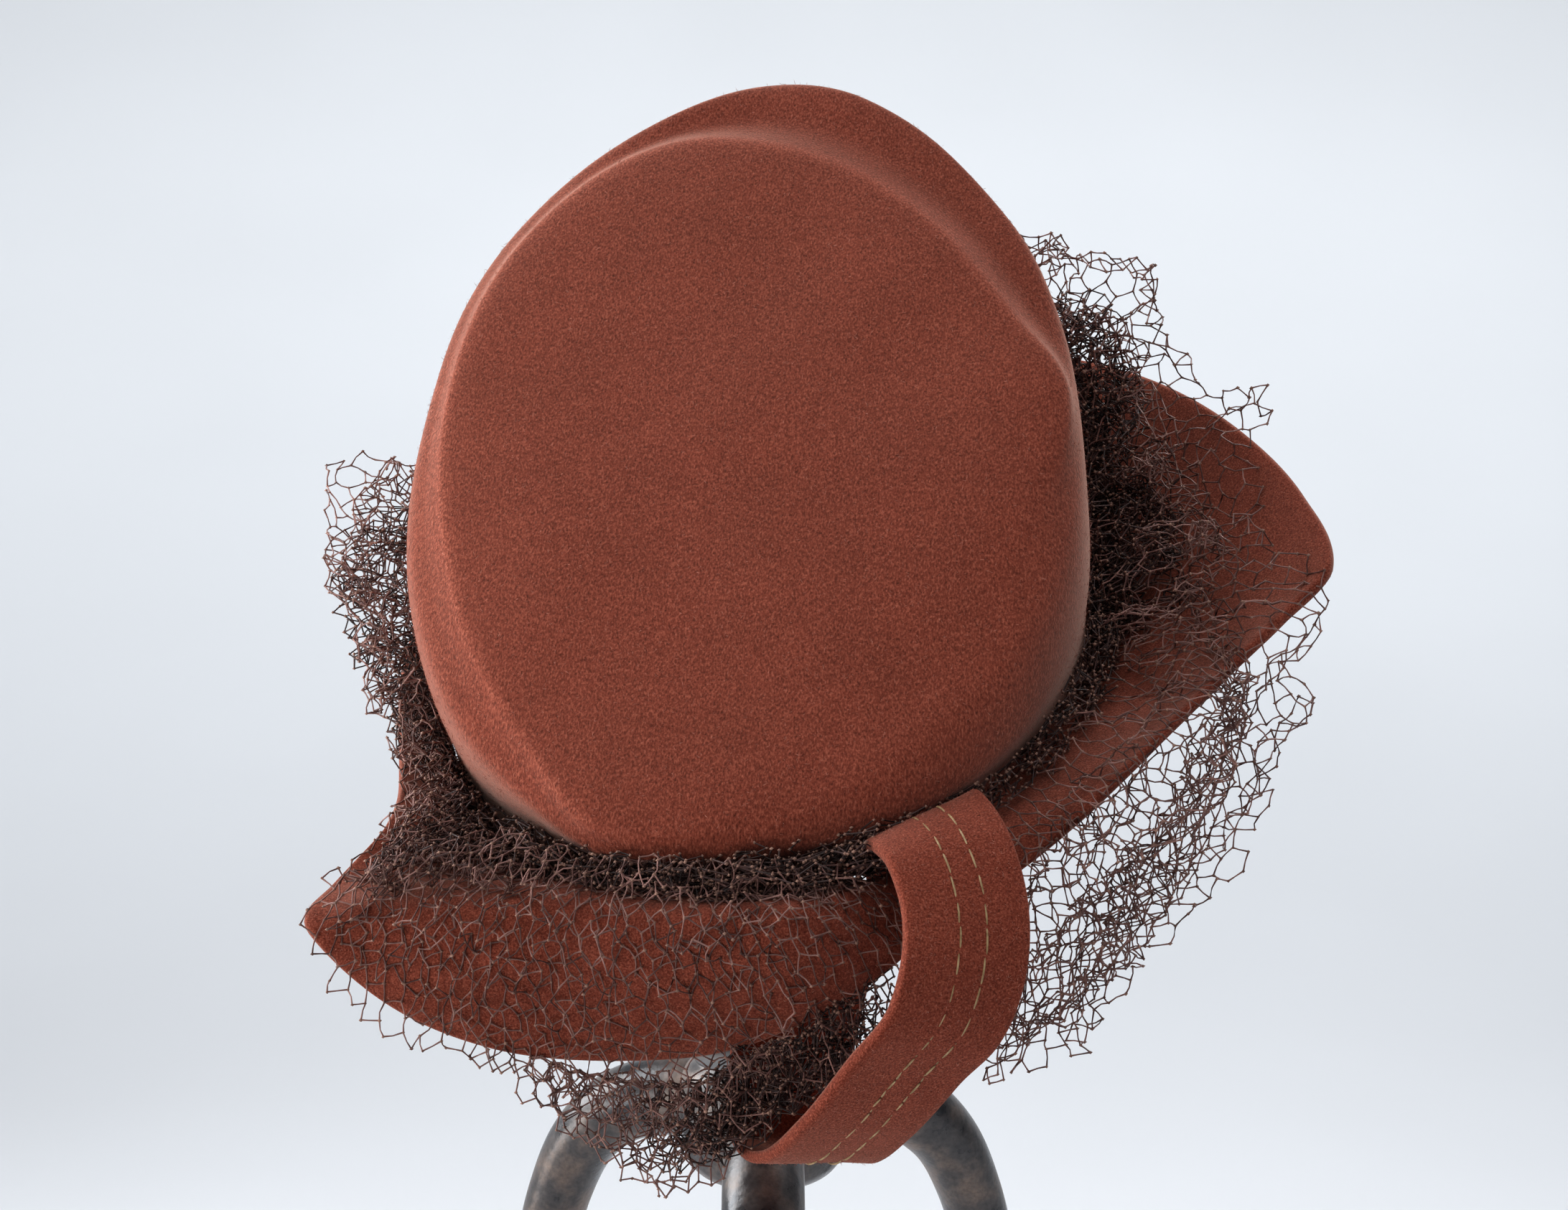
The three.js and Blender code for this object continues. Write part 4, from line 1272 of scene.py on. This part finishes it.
# The bunches, clumps and gathered net take the thread that is painted darker as painted shade.
bunched = bunch_layers(BUNCHES, upper_net, BUNCH_SEED, *felt)
net_piece("veil_bunches", bunched, SEED + 9, False, SHADED_NET)
tufts = bunch_layers(TUFTS, hang_net, TUFT_SEED, *felt)
net_piece("veil_tufts", tufts, SEED + 10, False)
clumps = bunch_layers(CLUMPS, hang_net, CLUMP_SEED, *felt)
net_piece("veil_clumps", clumps, SEED + 11, False, SHADED_NET)
panel = net_layer(veil_net, PANEL_SEED, *felt, stretch=PANEL_STRETCH)
net_piece("veil_panel", panel, SEED + 12)
net_piece("veil_gather", tangle(*felt), SEED + 13, False, SHADED_NET)


# Stage, light and camera.


def stage_piece():
    """A pale floor that bends up into a plain wall behind, painted paler up the wall as painted
    light.
    """
    turns = np.linspace(0, math.pi / 2, 40)
    floor = [(y, 0.0) for y in np.linspace(STAGE_NEAR, STAGE_BEND_AT, 24)]
    for a in turns[1:]:
        rise = STAGE_BEND * (1 - math.cos(a))
        floor.append((STAGE_BEND_AT + STAGE_BEND * math.sin(a), rise))
    wall = np.linspace(STAGE_BEND, STAGE_TOP, 16)[1:]
    floor += [(STAGE_BEND_AT + STAGE_BEND, z) for z in wall]
    points = np.array([[(x, y, z) for x in (-STAGE_SIDE, STAGE_SIDE)] for y, z in floor])
    made = new_material("stage_paper", Roughness=0.9, Specular_IOR_Level=0.1)
    material, tree, shader, place = made
    # Painted light: the paper is painted paler from the floor up the wall, standing for how the
    # lamps light it.
    height = add_node(tree, "ShaderNodeSeparateXYZ", {"Vector": place}).outputs["Z"]
    color = ramp(tree, height, (0, FLOOR_PAINTED_SHADE), (0.3, WALL_PAINTED_LIGHT))
    slow = grain(tree, place, 260, 2)
    color = mix(tree, 1, color, ramp(tree, slow, (0.3, grey(0.96)), (0.7, WHITE)))
    tree.links.new(color, shader.inputs["Base Color"])
    mesh = bpy.data.meshes.new("stage")
    mesh.from_pydata(points.reshape(-1, 3).tolist(), [], grid_faces(len(floor), 2).tolist())
    mesh.polygons.foreach_set("use_smooth", [True] * len(mesh.polygons))
    mesh.materials.append(material)
    stage = bpy.data.objects.new("stage", mesh)
    bpy.context.collection.objects.link(stage)
    stage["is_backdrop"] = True


def area_light(name, place, aim, size, power, spread, color):
    lamp = bpy.data.lights.new(name, "AREA")
    lamp.shape = "RECTANGLE"
    lamp.size, lamp.size_y = size
    lamp.energy = power
    lamp.spread = math.radians(spread)
    lamp.color = color
    made = bpy.data.objects.new(name, lamp)
    made.location = place
    made.visible_camera = False
    made.rotation_euler = (Vector(aim) - Vector(place)).to_track_quat("-Z", "Y").to_euler()
    bpy.context.collection.objects.link(made)


stage_piece()
hat_middle = AXIS + Vector((0, 0, HEAD_Z * MM))
for name, place, aim, *values in LAMPS:
    area_light(name, place, aim or hat_middle, *values)

world = bpy.data.worlds.new("studio")
world.use_nodes = True
glow = world.node_tree.nodes["Background"].inputs
glow["Color"].default_value = WORLD_COLOR
glow["Strength"].default_value = WORLD_STRENGTH
bpy.context.scene.world = world
bpy.context.scene.view_settings.view_transform = "Standard"

camera = bpy.data.cameras.new("camera")
camera.lens = CAMERA_LENS
camera.sensor_width = CAMERA_SENSOR
eye = bpy.data.objects.new("camera", camera)
eye.location = UPRIGHT @ Vector(CAMERA_PLACE)
eye.rotation_euler = (math.pi / 2 - CAMERA_PITCH, 0, 0)
bpy.context.collection.objects.link(eye)
bpy.context.scene.camera = eye

boxes = {"cad": cad_box, "visual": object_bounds()}
boxes = {name: [list(corner) for corner in box] for name, box in boxes.items()}
